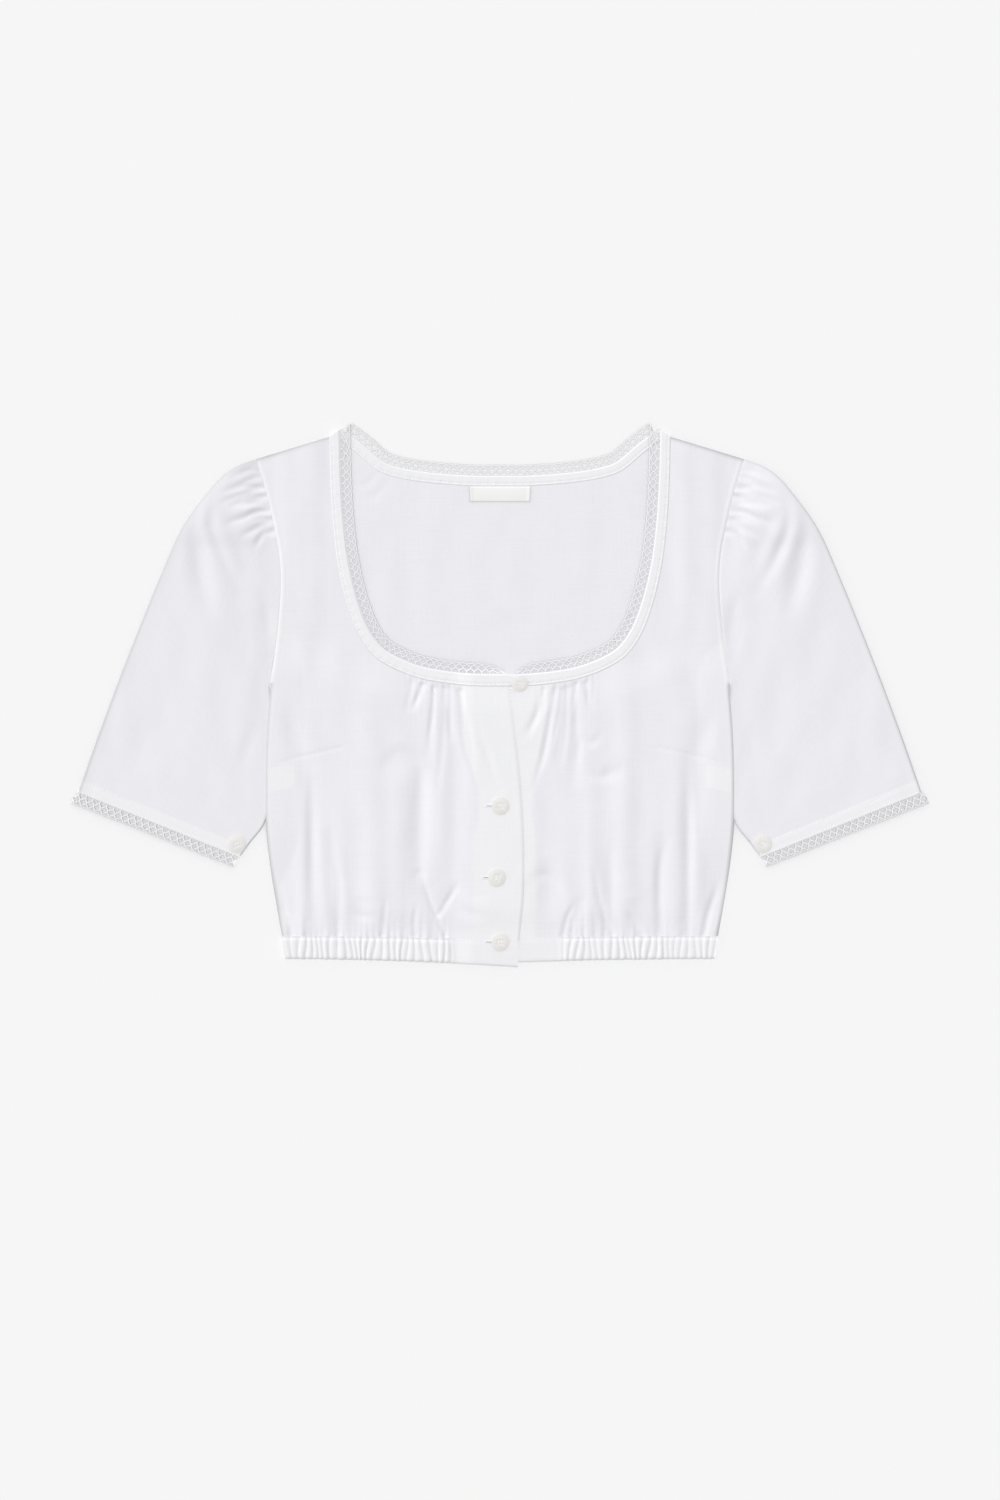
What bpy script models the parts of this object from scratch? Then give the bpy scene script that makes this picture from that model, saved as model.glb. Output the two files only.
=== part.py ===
"""Dirndl blouse laid flat on its back, front up, hem towards -Y.

Lengths are in millimetres until they are placed. The wearer's right side lies at -X.
Outlines are given for the -X half and turned over for the +X half.
"""
import math
from collections import namedtuple

import bmesh
import bpy

MM = 0.001

# Cloth layers
CLOTH = 1.1
GAP = 0.3
ARM_GAP = 0.5                # at the curved armhole seam
UPPER = CLOTH + GAP          # underside of whatever lies on the back panel
BAND = 1.8                   # the neck band is folded over the cut edge
LACE = 1.0
LACE_LIFT = 0.35             # the lace is sewn on above the band's underside
BAND_RISE = 0.6              # share of the front's rise that the stiffer band takes on

# Widths of the edgings
BAND_WIDTH_SHOULDER = 7.6
BAND_WIDTH_CENTRE = 9.0
NECK_LACE_WIDTH = 7.4
SLEEVE_LACE_OUTER = 9.9      # from the hem to the scallops, at the outer fold
SLEEVE_LACE_INNER = 8.9      # and at the underarm
SLEEVE_LACE_SPLAY = (-1.6, -1.8)
FRONT_SLANT = 0.6            # the edging's ends are cut along the shoulder seam
BACK_SLANT = -0.56

# Elastic hem casing
HEM_Y = -199.0
CASING_TOP_Y = -181.5
HEM_HALF_WIDTH = 161.0
CASING_HALF_WIDTH = 163.6
CASING_BACK = 2.2
CASING_FRONT = 1.6
CASING_PLAIN = 1.4
RIDGE_PITCH = 5.0
RIDGE_HEIGHT = 1.2
CASING_UNDER = CASING_BACK + GAP
CASING_CROWN = 0.3           # the casing bulges between its two seams
CASING_CORNER = 24.0         # length over which the casing's side slants in
LEFT_HEM_DROP = 3.3

# Overlap of the two fronts
UNDERLAP = 14.0
LAP_START = -36.0
LAP_END = -19.0
HEM_CORNER = (13.5, -204.9)

# Buttons
BUTTON = 14.0
NECK_BUTTON = 12.7
BUTTON_HEIGHT = 2.6
NECK_BUTTON_LIFT = 1.3       # the neck button stands on its thread above the band
THREAD = 0.4                 # radius of the loop's thread

# Label at the back neck
LABEL_WIDTH = 46.0
LABEL_HEIGHT = 11.6
LABEL_Y = 150.0
LABEL_THICKNESS = 1.0

# Highest and lowest points of the outline, for the origin
TOP_Y = 202.6
CENTRE_Y = (TOP_Y + HEM_CORNER[1]) / 2

Point = namedtuple("Point", "x y")
Fold = namedtuple("Fold", "x0 y0 x1 y1 bow width height start end")
Finish = namedtuple("Finish", "colour roughness")
ButtonPlace = namedtuple("ButtonPlace", "name x y size")

NECK = [  # seam of the front neck band, from the shoulder to past the centre
    Point(-128.0, 193.0),
    Point(-127.2, 159.3),
    Point(-125.4, 128.7),
    Point(-121.8, 98.0),
    Point(-115.7, 70.5),
    Point(-107.6, 47.6),
    Point(-97.4, 31.5),
    Point(-85.5, 22.0),
    Point(-66.2, 13.4),
    Point(-45.5, 8.6),
    Point(-18.0, 5.8),
    Point(UNDERLAP, 5.8),
]
NECK_CORNER = 0.475          # share of NECK where the strap ends and the bust begins
BACK_NECK = [  # seam of the back neck band, from the shoulder to the centre
    Point(-127.0, 193.4),
    Point(-117.0, 187.8),
    Point(-106.5, 179.8),
    Point(-91.5, 167.5),
    Point(-76.0, 162.1),
    Point(-54.8, 158.6),
    Point(-24.3, 156.2),
    Point(0.0, 156.0),
]
SIDE = [  # side of the front from the casing up to the underarm
    Point(-CASING_HALF_WIDTH, CASING_TOP_Y),
    Point(-166.5, -165.0),
    Point(-172.2, -131.0),
    Point(-175.5, -101.0),
    Point(-176.3, -73.4),
    Point(-175.5, -32.7),
    Point(-172.4, 6.2),
]
ARMHOLE = [  # armhole seam from the underarm up to the shoulder
    Point(-172.4, 6.2),
    Point(-167.3, 44.5),
    Point(-164.4, 80.0),
    Point(-165.5, 104.3),
    Point(-169.5, 125.6),
    Point(-175.5, 151.5),
    Point(-183.0, 176.3),
]
BACK_SIDE = [  # the back's side keeps clear of the sleeve that is tucked under the front
    Point(-CASING_HALF_WIDTH, CASING_TOP_Y),
    Point(-166.5, -165.0),
    Point(-172.2, -131.0),
    Point(-174.0, -108.0),
    Point(-170.5, -80.0),
    Point(-168.0, -50.0),
    Point(-168.6, -20.0),
    Point(-171.3, 6.2),
]
SLEEVE_OUTER = [  # upper fold of the sleeve from the shoulder to the hem
    Point(-183.6, 176.5),
    Point(-196.9, 171.5),
    Point(-207.8, 164.4),
    Point(-218.3, 153.2),
    Point(-238.2, 125.6),
    Point(-253.5, 92.3),
    Point(-279.5, 27.8),
    Point(-300.8, -29.3),
    Point(-316.2, -73.5),
]
SLEEVE_INNER = [  # underarm fold, tucked under the front until it turns away
    Point(-173.0, 5.6),
    Point(-170.4, -20.0),
    Point(-169.8, -50.0),
    Point(-172.4, -80.0),
    Point(-177.2, -98.0),
    Point(-186.0, -110.0),
    Point(-195.0, -122.3),
]
ARM_CORNER = 0.30            # share of ARMHOLE where the lower row of the strap starts

RIDGES = [  # broad folds that stand up: end points, sideways bow, half width, height
    Fold(-97, -2, -97, -184, -3, 11, 1.3, 0.4, 1.0),
    Fold(-43, -12, -44, -150, 0, 7, 0.9, 0.5, 0.2),
    Fold(-150, -60, -149, -184, 0, 6, 0.8, 0.2, 1.0),
    Fold(-76, -70, -77, -184, 0, 8, 1.0, 0.4, 1.0),
    Fold(96, -2, 97, -184, 2, 9, 1.3, 0.4, 1.0),
    Fold(68, -70, 69, -184, 0, 7, 1.2, 0.3, 1.0),
    Fold(131, -60, 131, -184, 0, 6, 0.8, 0.2, 1.0),
    Fold(152, -80, 151, -184, 0, 6, 0.7, 0.2, 1.0),
    Fold(-16, -150, -12, -178, 0, 12, 0.6, 0.2, 0.6),
]
TROUGHS = [  # creases and hollows, read like the ridges
    Fold(-59, -50, -61, -138, 2, 5, 1.5, 0.2, 0.9),
    Fold(-61, -136, -43, -182, 0, 3.5, 1.5, 0.9, 0.9),
    Fold(-92, -57, -60, -60, -8, 8, 1.0, 0.1, 0.5),
    Fold(-142.5, -50, -138, -182, 0, 4.5, 1.5, 0.2, 1.0),
    Fold(-127, -95, -121.5, -182, 2, 5, 1.3, 0.1, 1.0),
    Fold(-168, -130, -157, -180, 0, 4, 1.2, 0.2, 0.9),
    Fold(-46, -164, -29, -139, 0, 4, 1.2, 0.8, 0.1),
    Fold(-104, -150, -104, -182, 0, 8, 0.9, 0.1, 0.6),
    Fold(57, -22, 56, -74, 0, 5, 0.8, 0.5, 0.1),
    Fold(37, -120, 38, -180, 0, 8, 1.2, 0.1, 0.6),
    Fold(53, -182, 61, -150, 0, 3.5, 1.4, 1.0, 0.1),
    Fold(121, -100, 120, -182, 0, 5, 1.2, 0.1, 1.0),
    Fold(141, -48, 141, -182, 0, 4.5, 1.4, 0.2, 1.0),
    Fold(166, -130, 154, -180, 0, 4, 1.2, 0.2, 0.9),
    Fold(98, -152, 104, -182, 0, 8, 0.9, 0.1, 0.6),
    Fold(83, -105, 84, -182, 0, 4.5, 0.9, 0.1, 0.8),
    Fold(95, -55, 75, -56, -4, 7, 0.6, 0.2, 0.2),
]
NECK_GATHERS = [  # pulled in under the band, strongest at their first point
    Fold(-66, 9, -70, -14, 0, 2.2, 0.7, 1.0, 0.0),
    Fold(-57, 7, -66, -14, 0, 2.2, 0.9, 1.0, 0.0),
    Fold(-48.5, 5, -54, -50, 0, 2.4, 1.0, 1.0, 0.0),
    Fold(-39.5, 4, -37, -38, 0, 2.4, 0.9, 1.0, 0.0),
    Fold(-29.5, 3, -19, -56, 0, 2.4, 1.0, 1.0, 0.0),
    Fold(33, 3, 21, -34, 0, 2.4, 0.9, 1.0, 0.0),
    Fold(41.5, 4, 31, -56, 0, 2.4, 1.0, 1.0, 0.0),
    Fold(49.5, 5, 42, -58, 0, 2.4, 0.9, 1.0, 0.0),
    Fold(57, 7, 57, -36, 0, 2.4, 0.8, 1.0, 0.0),
    Fold(65, 9, 69, -14, 0, 2.2, 0.7, 1.0, 0.0),
]
CAP_GATHERS = [  # folds of the puffed cap, from the armhole seam outwards, for the -X sleeve
    Fold(-182, 172, -203, 161, 0, 2.4, 1.0, 0.9, 0.1),
    Fold(-180, 164, -209, 150, 0, 2.4, 1.2, 1.0, 0.1),
    Fold(-177.5, 155.5, -212, 142, 0, 2.4, 1.2, 1.0, 0.1),
    Fold(-175.5, 147, -205, 140, 0, 2.4, 1.3, 1.0, 0.1),
    Fold(-173.5, 138.5, -207, 127, 0, 2.4, 1.2, 1.0, 0.1),
    Fold(-171.5, 130, -196, 117, 0, 2.4, 1.1, 1.0, 0.1),
    Fold(-169.5, 121.5, -190, 103, 0, 2.4, 0.9, 1.0, 0.1),
]
SLEEVE_FOLDS = [  # soft folds down the -X sleeve
    Fold(-215, 145, -193, 78, -8, 7, 0.9, 0.2, 0.2),
    Fold(-231, 134, -216, 54, -3, 6, 0.7, 0.3, 0.1),
    Fold(-185, 66, -171, 30, 0, 7, 0.7, 0.2, 0.6),
    Fold(-240, 40, -262, -60, 0, 14, 0.5, 0.1, 0.1),
]

BUTTONS = [
    ButtonPlace("button_neck", 15.0, 7.5, NECK_BUTTON),
    ButtonPlace("button_front_top", 0.4, -84.0, BUTTON),
    ButtonPlace("button_front_middle", -2.3, -137.7, BUTTON),
    ButtonPlace("button_front_hem", 0.2, -186.0, BUTTON),
    ButtonPlace("button_sleeve_right", -197.3, -112.6, BUTTON),
    ButtonPlace("button_sleeve_left", 197.3, -112.6, BUTTON),
]

FINISHES = {
    "cotton": Finish((0.84, 0.84, 0.87), 0.85),
    "doubled_cotton": Finish((0.90, 0.90, 0.92), 0.85),
    "lace": Finish((0.88, 0.88, 0.90), 0.80),
    "button": Finish((0.90, 0.87, 0.83), 0.35),
    "label": Finish((0.92, 0.92, 0.91), 0.70),
    "thread": Finish((0.86, 0.86, 0.87), 0.75),
}


def smooth(value):
    """Ease from 0 to 1 as the value goes from 0 to 1."""
    value = max(0.0, min(1.0, value))
    return value * value * (3.0 - 2.0 * value)


def between(share, low, high):
    """The value that lies the given share of the way from low to high."""
    return low + (high - low) * share


class Line:
    """A smooth line through a few points, read by the share of its length."""

    STEPS = 12

    def __init__(self, points):
        first = Point(2 * points[0].x - points[1].x, 2 * points[0].y - points[1].y)
        last = Point(2 * points[-1].x - points[-2].x, 2 * points[-1].y - points[-2].y)
        chain = [first] + list(points) + [last]
        self.spots = [points[0]]
        for a, b, c, d in zip(chain, chain[1:], chain[2:], chain[3:]):
            for step in range(1, self.STEPS + 1):
                self.spots.append(self.curve(a, b, c, d, step / self.STEPS))
        self.reach = [0.0]
        for one, two in zip(self.spots, self.spots[1:]):
            self.reach.append(self.reach[-1] + math.dist(one, two))

    @staticmethod
    def curve(a, b, c, d, t):
        """A point of the curve from b to c that keeps the directions of its neighbours."""
        weights = (
            (-t + 2 * t * t - t ** 3) / 2,
            (2 - 5 * t * t + 3 * t ** 3) / 2,
            (t + 4 * t * t - 3 * t ** 3) / 2,
            (t ** 3 - t * t) / 2,
        )
        chain = (a, b, c, d)
        x = sum(weight * point.x for weight, point in zip(weights, chain))
        y = sum(weight * point.y for weight, point in zip(weights, chain))
        return Point(x, y)

    def at(self, share):
        """The point at a share of the length."""
        goal = max(0.0, min(1.0, share)) * self.reach[-1]
        index = 1
        while index < len(self.reach) - 1 and self.reach[index] < goal:
            index += 1
        start = self.reach[index - 1]
        part = (goal - start) / max(self.reach[index] - start, 1e-9)
        one = self.spots[index - 1]
        two = self.spots[index]
        return Point(between(part, one.x, two.x), between(part, one.y, two.y))

    def direction(self, share):
        """The unit direction of travel at a share of the length."""
        one = self.at(max(0.0, share - 0.01))
        two = self.at(min(1.0, share + 0.01))
        length = math.dist(one, two)
        return Point((two.x - one.x) / length, (two.y - one.y) / length)

    def aside(self, share, out, slant=0.0):
        """A point moved out to the left of the line, and slant times as far back along it."""
        point = self.at(share)
        way = self.direction(share)
        back = out * slant
        return Point(point.x - way.y * out - way.x * back, point.y + way.x * out - way.y * back)

    def share_at_x(self, x):
        """The share of the length at which the line last crosses x, going in +X."""
        index = len(self.spots) - 1
        while index > 0 and self.spots[index - 1].x > x:
            index -= 1
        one = self.spots[index - 1]
        two = self.spots[index]
        part = (x - one.x) / (two.x - one.x)
        return between(part, self.reach[index - 1], self.reach[index]) / self.reach[-1]


def patch(bottom, top, left, right):
    """Blend four edges, each a function of 0 to 1, into a map of the area between them."""
    corners = (bottom(0), bottom(1), top(0), top(1))

    def at(u, v):
        low, high, port, star = bottom(u), top(u), left(v), right(v)
        place = []
        for axis in (0, 1):
            ruled = between(v, low[axis], high[axis]) + between(u, port[axis], star[axis])
            base = between(u, corners[0][axis], corners[1][axis])
            roof = between(u, corners[2][axis], corners[3][axis])
            place.append(ruled - between(v, base, roof))
        return Point(*place)

    return at


def spacing(stretches):
    """Spots from 0 to 1: each stretch is (its end, how many steps it takes)."""
    spots = [0.0]
    for end, steps in stretches:
        start = spots[-1]
        spots += [between((step + 1) / steps, start, end) for step in range(steps)]
    return spots


def fold_height(folds, x, y):
    """Sum of soft folds at a place."""
    total = 0.0
    for fold in folds:
        run_x, run_y = fold.x1 - fold.x0, fold.y1 - fold.y0
        length = math.hypot(run_x, run_y)
        along = ((x - fold.x0) * run_x + (y - fold.y0) * run_y) / length ** 2
        beyond = max(0.0, -along, along - 1.0) * length
        share = max(0.0, min(1.0, along))
        aside = ((x - fold.x0) * run_y - (y - fold.y0) * run_x) / length
        aside -= fold.bow * 4 * share * (1 - share)
        if abs(aside) > 3 * fold.width or beyond > 3 * fold.width:
            continue
        middle = 4 * share * (1 - share)
        strength = max(middle, between(share, fold.start, fold.end))
        total += fold.height * strength * math.exp(-(aside ** 2 + beyond ** 2) / fold.width ** 2)
    return total


NECK_LINE = Line(NECK)
BACK_NECK_LINE = Line(BACK_NECK)
SIDE_LINE = Line(SIDE)
BACK_SIDE_LINE = Line(BACK_SIDE)
ARMHOLE_LINE = Line(ARMHOLE)
OUTER_LINE = Line(SLEEVE_OUTER)
INNER_LINE = Line(SLEEVE_INNER)
NECK_END_SHARE = NECK_LINE.share_at_x(6.5)
STRAP_ROWS = spacing([(1.0, 8)])
STRAP_SHARE = 0.34           # share of the bust's width that lies below the strap
SHOULDER_SHARE = 0.36        # share of the back's upper edge that is shoulder
BUST_COLUMNS = spacing([(0.30, 6), (0.85, 15), (1.0, 3)])
BACK_NECK_STEPS = 12


def neck_shares(end):
    """Where the front neck seam has its points, on the panel and on the band alike."""
    strap = [NECK_CORNER * (1 - row) for row in reversed(STRAP_ROWS)]
    return strap + [between(column, NECK_CORNER, end) for column in BUST_COLUMNS[1:]]


def hem_drop(x, upper):
    """How far the hem sinks towards the overlap; x runs from the side seam at -X inwards."""
    share = (x + HEM_HALF_WIDTH) / (HEM_CORNER[0] + HEM_HALF_WIDTH)
    if upper:
        return (HEM_Y - HEM_CORNER[1]) * max(0.0, share) ** 1.9
    return LEFT_HEM_DROP * max(0.0, share) ** 2


def rise(x, y):
    """Height of the front's underside over where it would lie flat on the back."""
    edge = abs(x)
    side = smooth((171.0 - edge) / 40.0)
    below_neck = smooth((14.0 + 0.0016 * x * x - y) / 30.0)
    strap = smooth((y - 20.0) / 60.0)
    body = between(smooth((-40.0 - y) / 100.0), 1.2, 2.0) * below_neck * (1 - strap)
    height = side * (0.35 + body)
    height += 0.9 * strap * smooth((edge - 128) / 14) * smooth((172 - edge) / 14)
    tuck = smooth((edge - 158.0) / 8.0) * smooth((24.0 - y) / 14.0) * smooth((y + 118.0) / 16.0)
    height = max(height, 1.75 * tuck)
    relief = side * (fold_height(RIDGES, x, y) - fold_height(TROUGHS, x, y))
    relief -= fold_height(NECK_GATHERS, x, y) * 0.8
    height += relief
    hem = smooth((-160.0 - y) / 20.0)
    height = between(hem, height, 1.6 + 0.5 * relief)
    return max(0.0, min(3.6, height))


def lap(x, layer):
    """How far the upper front climbs over the under-lap, which is one layer thick."""
    return (layer + GAP + 0.1) * smooth((x - LAP_START) / (LAP_END - LAP_START))


def front_under(x, y, upper):
    """Underside of a front panel; the upper one is the wearer's right."""
    return UPPER + rise(x, y) + (lap(x, CLOTH) if upper else 0.0)


def puff(x, y):
    """Rise of the sleeve's upper layer, for the -X sleeve."""
    cap = math.exp(-((x + 208.0) / 30.0) ** 2 - ((y - 138.0) / 42.0) ** 2)
    swell = math.exp(-((x + 222.0) / 45.0) ** 2 - ((y - 75.0) / 60.0) ** 2)
    body = math.exp(-((x + 245.0) / 50.0) ** 2 - ((y + 25.0) / 60.0) ** 2)
    away = smooth((-x - seam_x(y) - 1.0) / 16.0)
    height = away * (3.2 * cap + 1.5 * swell + 0.9 * body)
    height -= fold_height(SLEEVE_FOLDS, x, y) * away
    height += (0.75 - fold_height(CAP_GATHERS, x, y)) * smooth((y - 108.0) / 14.0) * min(1.0, 2 * cap)
    return max(0.0, min(4.2, height))


def seam_x(y):
    """Distance of the armhole seam from the centre at a height."""
    share = max(0.0, min(1.0, (y - ARMHOLE[0].y) / (ARMHOLE[-1].y - ARMHOLE[0].y)))
    return -ARMHOLE_LINE.at(share).x


def make_material(name):
    """The finish of a piece as its own material."""
    finish = FINISHES[name]
    material = bpy.data.materials.new(name)
    material.use_nodes = True
    shader = material.node_tree.nodes["Principled BSDF"]
    shader.inputs["Base Color"].default_value = (*finish.colour, 1.0)
    shader.inputs["Roughness"].default_value = finish.roughness
    shader.inputs["Metallic"].default_value = 0.0
    return material


class Workroom:
    """Makes named objects in the garment's collection."""

    def __init__(self):
        for old in list(bpy.data.objects):
            bpy.data.objects.remove(old, do_unlink=True)
        self.pieces = bpy.data.collections.new("dirndl_blouse")
        self.cutters = bpy.data.collections.new("cutters")
        bpy.context.scene.collection.children.link(self.pieces)
        bpy.context.scene.collection.children.link(self.cutters)

    def add(self, name, mesh, finish):
        """Put a mesh in the collection as a named piece with its own material."""
        mesh.materials.append(make_material(finish))
        piece = bpy.data.objects.new(name, mesh)
        self.pieces.objects.link(piece)
        return piece

    def sheet(self, name, finish, columns, rows, outside, inside, keep=None, turn=1, half=False):
        """A cloth wall from a grid whose skin is shaped and then drawn in to its inside.

        outside and inside give a place (x, y, z) for a column and a row. keep tells
        which points of the grid are used. turn is -1 for the +X half. A half is left
        open at the centre and turned over there.
        """
        bm = bmesh.new()
        bmesh.ops.create_grid(bm, x_segments=columns, y_segments=rows, size=0.5)
        column_of = bm.verts.layers.int.new("column")
        row_of = bm.verts.layers.int.new("row")
        for vert in bm.verts:
            vert[column_of] = round((vert.co.x + 0.5) * columns)
            vert[row_of] = round((vert.co.y + 0.5) * rows)
        if keep:
            spare = [vert for vert in bm.verts if not keep(vert[column_of], vert[row_of])]
            bmesh.ops.delete(bm, geom=spare, context="VERTS")
        for vert in bm.verts:
            vert.co = self.place(outside(vert[column_of], vert[row_of]), turn)
        bmesh.ops.remove_doubles(bm, verts=bm.verts, dist=0.00001)
        grown = bmesh.ops.extrude_face_region(bm, geom=list(bm.faces), use_keep_orig=True)
        for item in grown["geom"]:
            if isinstance(item, bmesh.types.BMVert):
                item.co = self.place(inside(item[column_of], item[row_of]), turn)
        bmesh.ops.recalc_face_normals(bm, faces=bm.faces)
        if half:
            cut = [face for face in bm.faces if all(abs(vert.co.x) < 1e-7 for vert in face.verts)]
            bmesh.ops.delete(bm, geom=cut, context="FACES")
        mesh = bpy.data.meshes.new(name)
        bm.to_mesh(mesh)
        bm.free()
        piece = self.add(name, mesh, finish)
        if half:
            mirror = piece.modifiers.new("other half", "MIRROR")
            mirror.use_axis[0] = True
            mirror.merge_threshold = 0.0001
        return piece

    @staticmethod
    def place(spot, turn):
        """Metres, with the middle of the garment at the origin."""
        return (spot[0] * turn * MM, (spot[1] - CENTRE_Y) * MM, spot[2] * MM)


def front_panel(room, name, turn):
    """One front: strap, bust and gathers down to the casing, with its turned-in edge."""
    upper = turn == 1
    end = NECK_END_SHARE if upper else 1.0
    strap = spacing([(1.0, 7)])
    corner = len(strap) - 1
    columns = corner + len(BUST_COLUMNS) - 1
    low_rows = spacing([(0.14, 4), (0.8, 12), (1.0, 5)])
    shelf = len(low_rows) - 1
    rows = shelf + len(STRAP_ROWS) - 1
    underarm = SIDE_LINE.reach[-1]
    arm_start = ARMHOLE_LINE.reach[-1] * ARM_CORNER
    neck_corner = NECK_LINE.aside(NECK_CORNER, -GAP)
    arm_corner = ARMHOLE_LINE.at(ARM_CORNER)

    def edge_x(y):
        """The centre edge of this front, as x of the -X half."""
        if not upper:
            return UNDERLAP
        bow = math.sin(math.pi / 2 * min(1.0, (3.0 - y) / 128.0))
        return 7.2 + 11.0 * bow - 4.2 * smooth((-140.0 - y) / 60.0)

    def hem_side(share):
        goal = share * (underarm + arm_start)
        if goal <= underarm:
            return SIDE_LINE.at(goal / underarm)
        return ARMHOLE_LINE.at((goal - underarm) / ARMHOLE_LINE.reach[-1])

    def casing_seam(share):
        start = -CASING_HALF_WIDTH
        stop = edge_x(CASING_TOP_Y)
        x = between(share, start, stop)
        return Point(x, CASING_TOP_Y + GAP - 0.6 * hem_drop(x, upper))

    def bust_top(share):
        if share <= STRAP_SHARE:
            part = share / STRAP_SHARE
            return Point(between(part, arm_corner.x, neck_corner.x),
                         between(part, arm_corner.y, neck_corner.y))
        part = (share - STRAP_SHARE) / (1 - STRAP_SHARE)
        return NECK_LINE.aside(between(part, NECK_CORNER, end), -GAP)

    def centre_edge(share):
        low = casing_seam(1.0)
        high = bust_top(1.0)
        y = between(share, low.y, high.y)
        return Point(edge_x(y) - (edge_x(high.y) - high.x) * share ** 8, y)

    def strap_low(share):
        return bust_top(share * STRAP_SHARE)

    def strap_high(share):
        return Point(between(share, ARMHOLE[-1].x, NECK[0].x - GAP),
                     between(share, ARMHOLE[-1].y, NECK[0].y))

    def strap_arm(share):
        return ARMHOLE_LINE.at(between(share, ARM_CORNER, 1.0))

    def strap_neck(share):
        return NECK_LINE.aside(between(share, NECK_CORNER, 0.0), -GAP)

    bust_map = patch(casing_seam, bust_top, hem_side, centre_edge)
    strap_map = patch(strap_low, strap_high, strap_arm, strap_neck)

    def spot(column, row):
        if column <= corner:
            u = strap[column]
            if row > shelf:
                return strap_map(u, STRAP_ROWS[row - shelf])
            return bust_map(u * STRAP_SHARE, low_rows[row])
        u = between(BUST_COLUMNS[column - corner], STRAP_SHARE, 1.0)
        return bust_map(u, low_rows[row])

    def under(column, row):
        place = spot(column, row)
        return (place.x, place.y, front_under(place.x * turn, place.y, upper))

    def over(column, row):
        x, y, z = under(column, row)
        return (x, y, z + CLOTH)

    return room.sheet(name, "cotton", columns, rows, over, under, turn=turn,
                      keep=lambda column, row: column <= corner or row <= shelf)


def back_panel(room):
    """The back, in one piece and flat on its face."""
    side_length = BACK_SIDE_LINE.reach[-1]
    arm_length = ARMHOLE_LINE.reach[-1]
    columns = spacing([(SHOULDER_SHARE, 3), (1.0, BACK_NECK_STEPS)])
    rows = spacing([(0.5, 8), (1.0, 9)])

    def hem(share):
        x = between(share, -CASING_HALF_WIDTH, 0.0)
        return Point(x, CASING_TOP_Y + GAP)

    def side(share):
        goal = share * (side_length + arm_length)
        if goal <= side_length:
            return BACK_SIDE_LINE.at(goal / side_length)
        return ARMHOLE_LINE.aside((goal - side_length) / arm_length, -1.1 * (1 - share))

    def top(share):
        if share <= SHOULDER_SHARE:
            part = share / SHOULDER_SHARE
            return Point(between(part, ARMHOLE[-1].x, BACK_NECK[0].x - GAP),
                         between(part, ARMHOLE[-1].y, BACK_NECK[0].y))
        part = (share - SHOULDER_SHARE) / (1 - SHOULDER_SHARE)
        return BACK_NECK_LINE.aside(part, -GAP)

    def centre(share):
        return Point(0.0, between(share, CASING_TOP_Y + GAP, BACK_NECK[-1].y - GAP))

    half_map = patch(hem, top, side, centre)

    def inner(column, row):
        place = half_map(columns[column], rows[row])
        return (place.x, place.y, CLOTH)

    def outer(column, row):
        x, y, _ = inner(column, row)
        return (x, y, 0.0)

    return room.sheet("back_panel", "cotton", len(columns) - 1, len(rows) - 1, inner, outer, half=True)


def neck_strip(room, name, finish, turn, line, shares, offsets, under, thick, half=False):
    """A strip beside a neck seam: offsets gives how far out its two edges lie."""
    cut = BACK_SLANT if half else FRONT_SLANT
    steps = len(shares) - 1

    def spot(column, row):
        share = shares[column]
        out = offsets(share)[row]
        slant = cut * (1 - smooth(share / 0.08))
        place = line.aside(share, out, slant)
        if half and column == steps:
            return Point(0.0, place.y)
        return place

    def low(column, row):
        place = spot(column, row)
        return (place.x, place.y, under(place.x, place.y))

    def high(column, row):
        x, y, z = low(column, row)
        return (x, y, z + thick)

    return room.sheet(name, finish, steps, 1, high, low, turn=turn, half=half)


def band_width(share):
    """The band is a little wider at the centre front than on the shoulder."""
    return between(smooth(share / 0.9), BAND_WIDTH_SHOULDER, BAND_WIDTH_CENTRE)


def neck_edging(room):
    """Band and lace round the neck, in the three stretches that show."""
    for side, turn in (("right", 1), ("left", -1)):
        upper = turn == 1
        end = NECK_END_SHARE if upper else 1.0
        lace_end = NECK_LINE.share_at_x(4.0 if upper else -12.0)
        shares = neck_shares(end)
        lace_shares = neck_shares(lace_end)

        def band_under(x, y, turn=turn, upper=upper):
            height = UPPER + BAND_RISE * rise(x * turn, min(y, 190.0))
            return height + (lap(x, BAND) if upper else 0.0)

        def lace_under(x, y, below=band_under):
            return below(x, y) + LACE_LIFT

        def lace_edges(share, end=lace_end):
            inner = band_width(share) + GAP
            taper = math.sqrt(max(0.0, min(1.0, (end - share) / 0.05)))
            return (inner, inner + max(1.0, NECK_LACE_WIDTH * taper))

        neck_strip(room, "neck_band_" + side, "doubled_cotton", turn, NECK_LINE, shares,
                   lambda share: (0.0, band_width(share)), band_under, BAND)
        neck_strip(room, "neck_lace_" + side, "lace", turn, NECK_LINE, lace_shares,
                   lace_edges, lace_under, LACE)


def back_neck_edging(room):
    """Band and lace round the back neck, each a half turned over the centre."""
    shares = [step / BACK_NECK_STEPS for step in range(BACK_NECK_STEPS + 1)]
    band = BAND_WIDTH_SHOULDER
    for name, finish, inner, outer in (
        ("neck_band_back", "doubled_cotton", 0.0, band),
        ("neck_lace_back", "lace", band + GAP, band + GAP + NECK_LACE_WIDTH),
    ):
        neck_strip(room, name, finish, 1, BACK_NECK_LINE, shares,
                   lambda share, low=inner, high=outer: (low, high), lambda x, y: 0.0,
                   CLOTH if finish == "doubled_cotton" else LACE, half=True)


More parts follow.
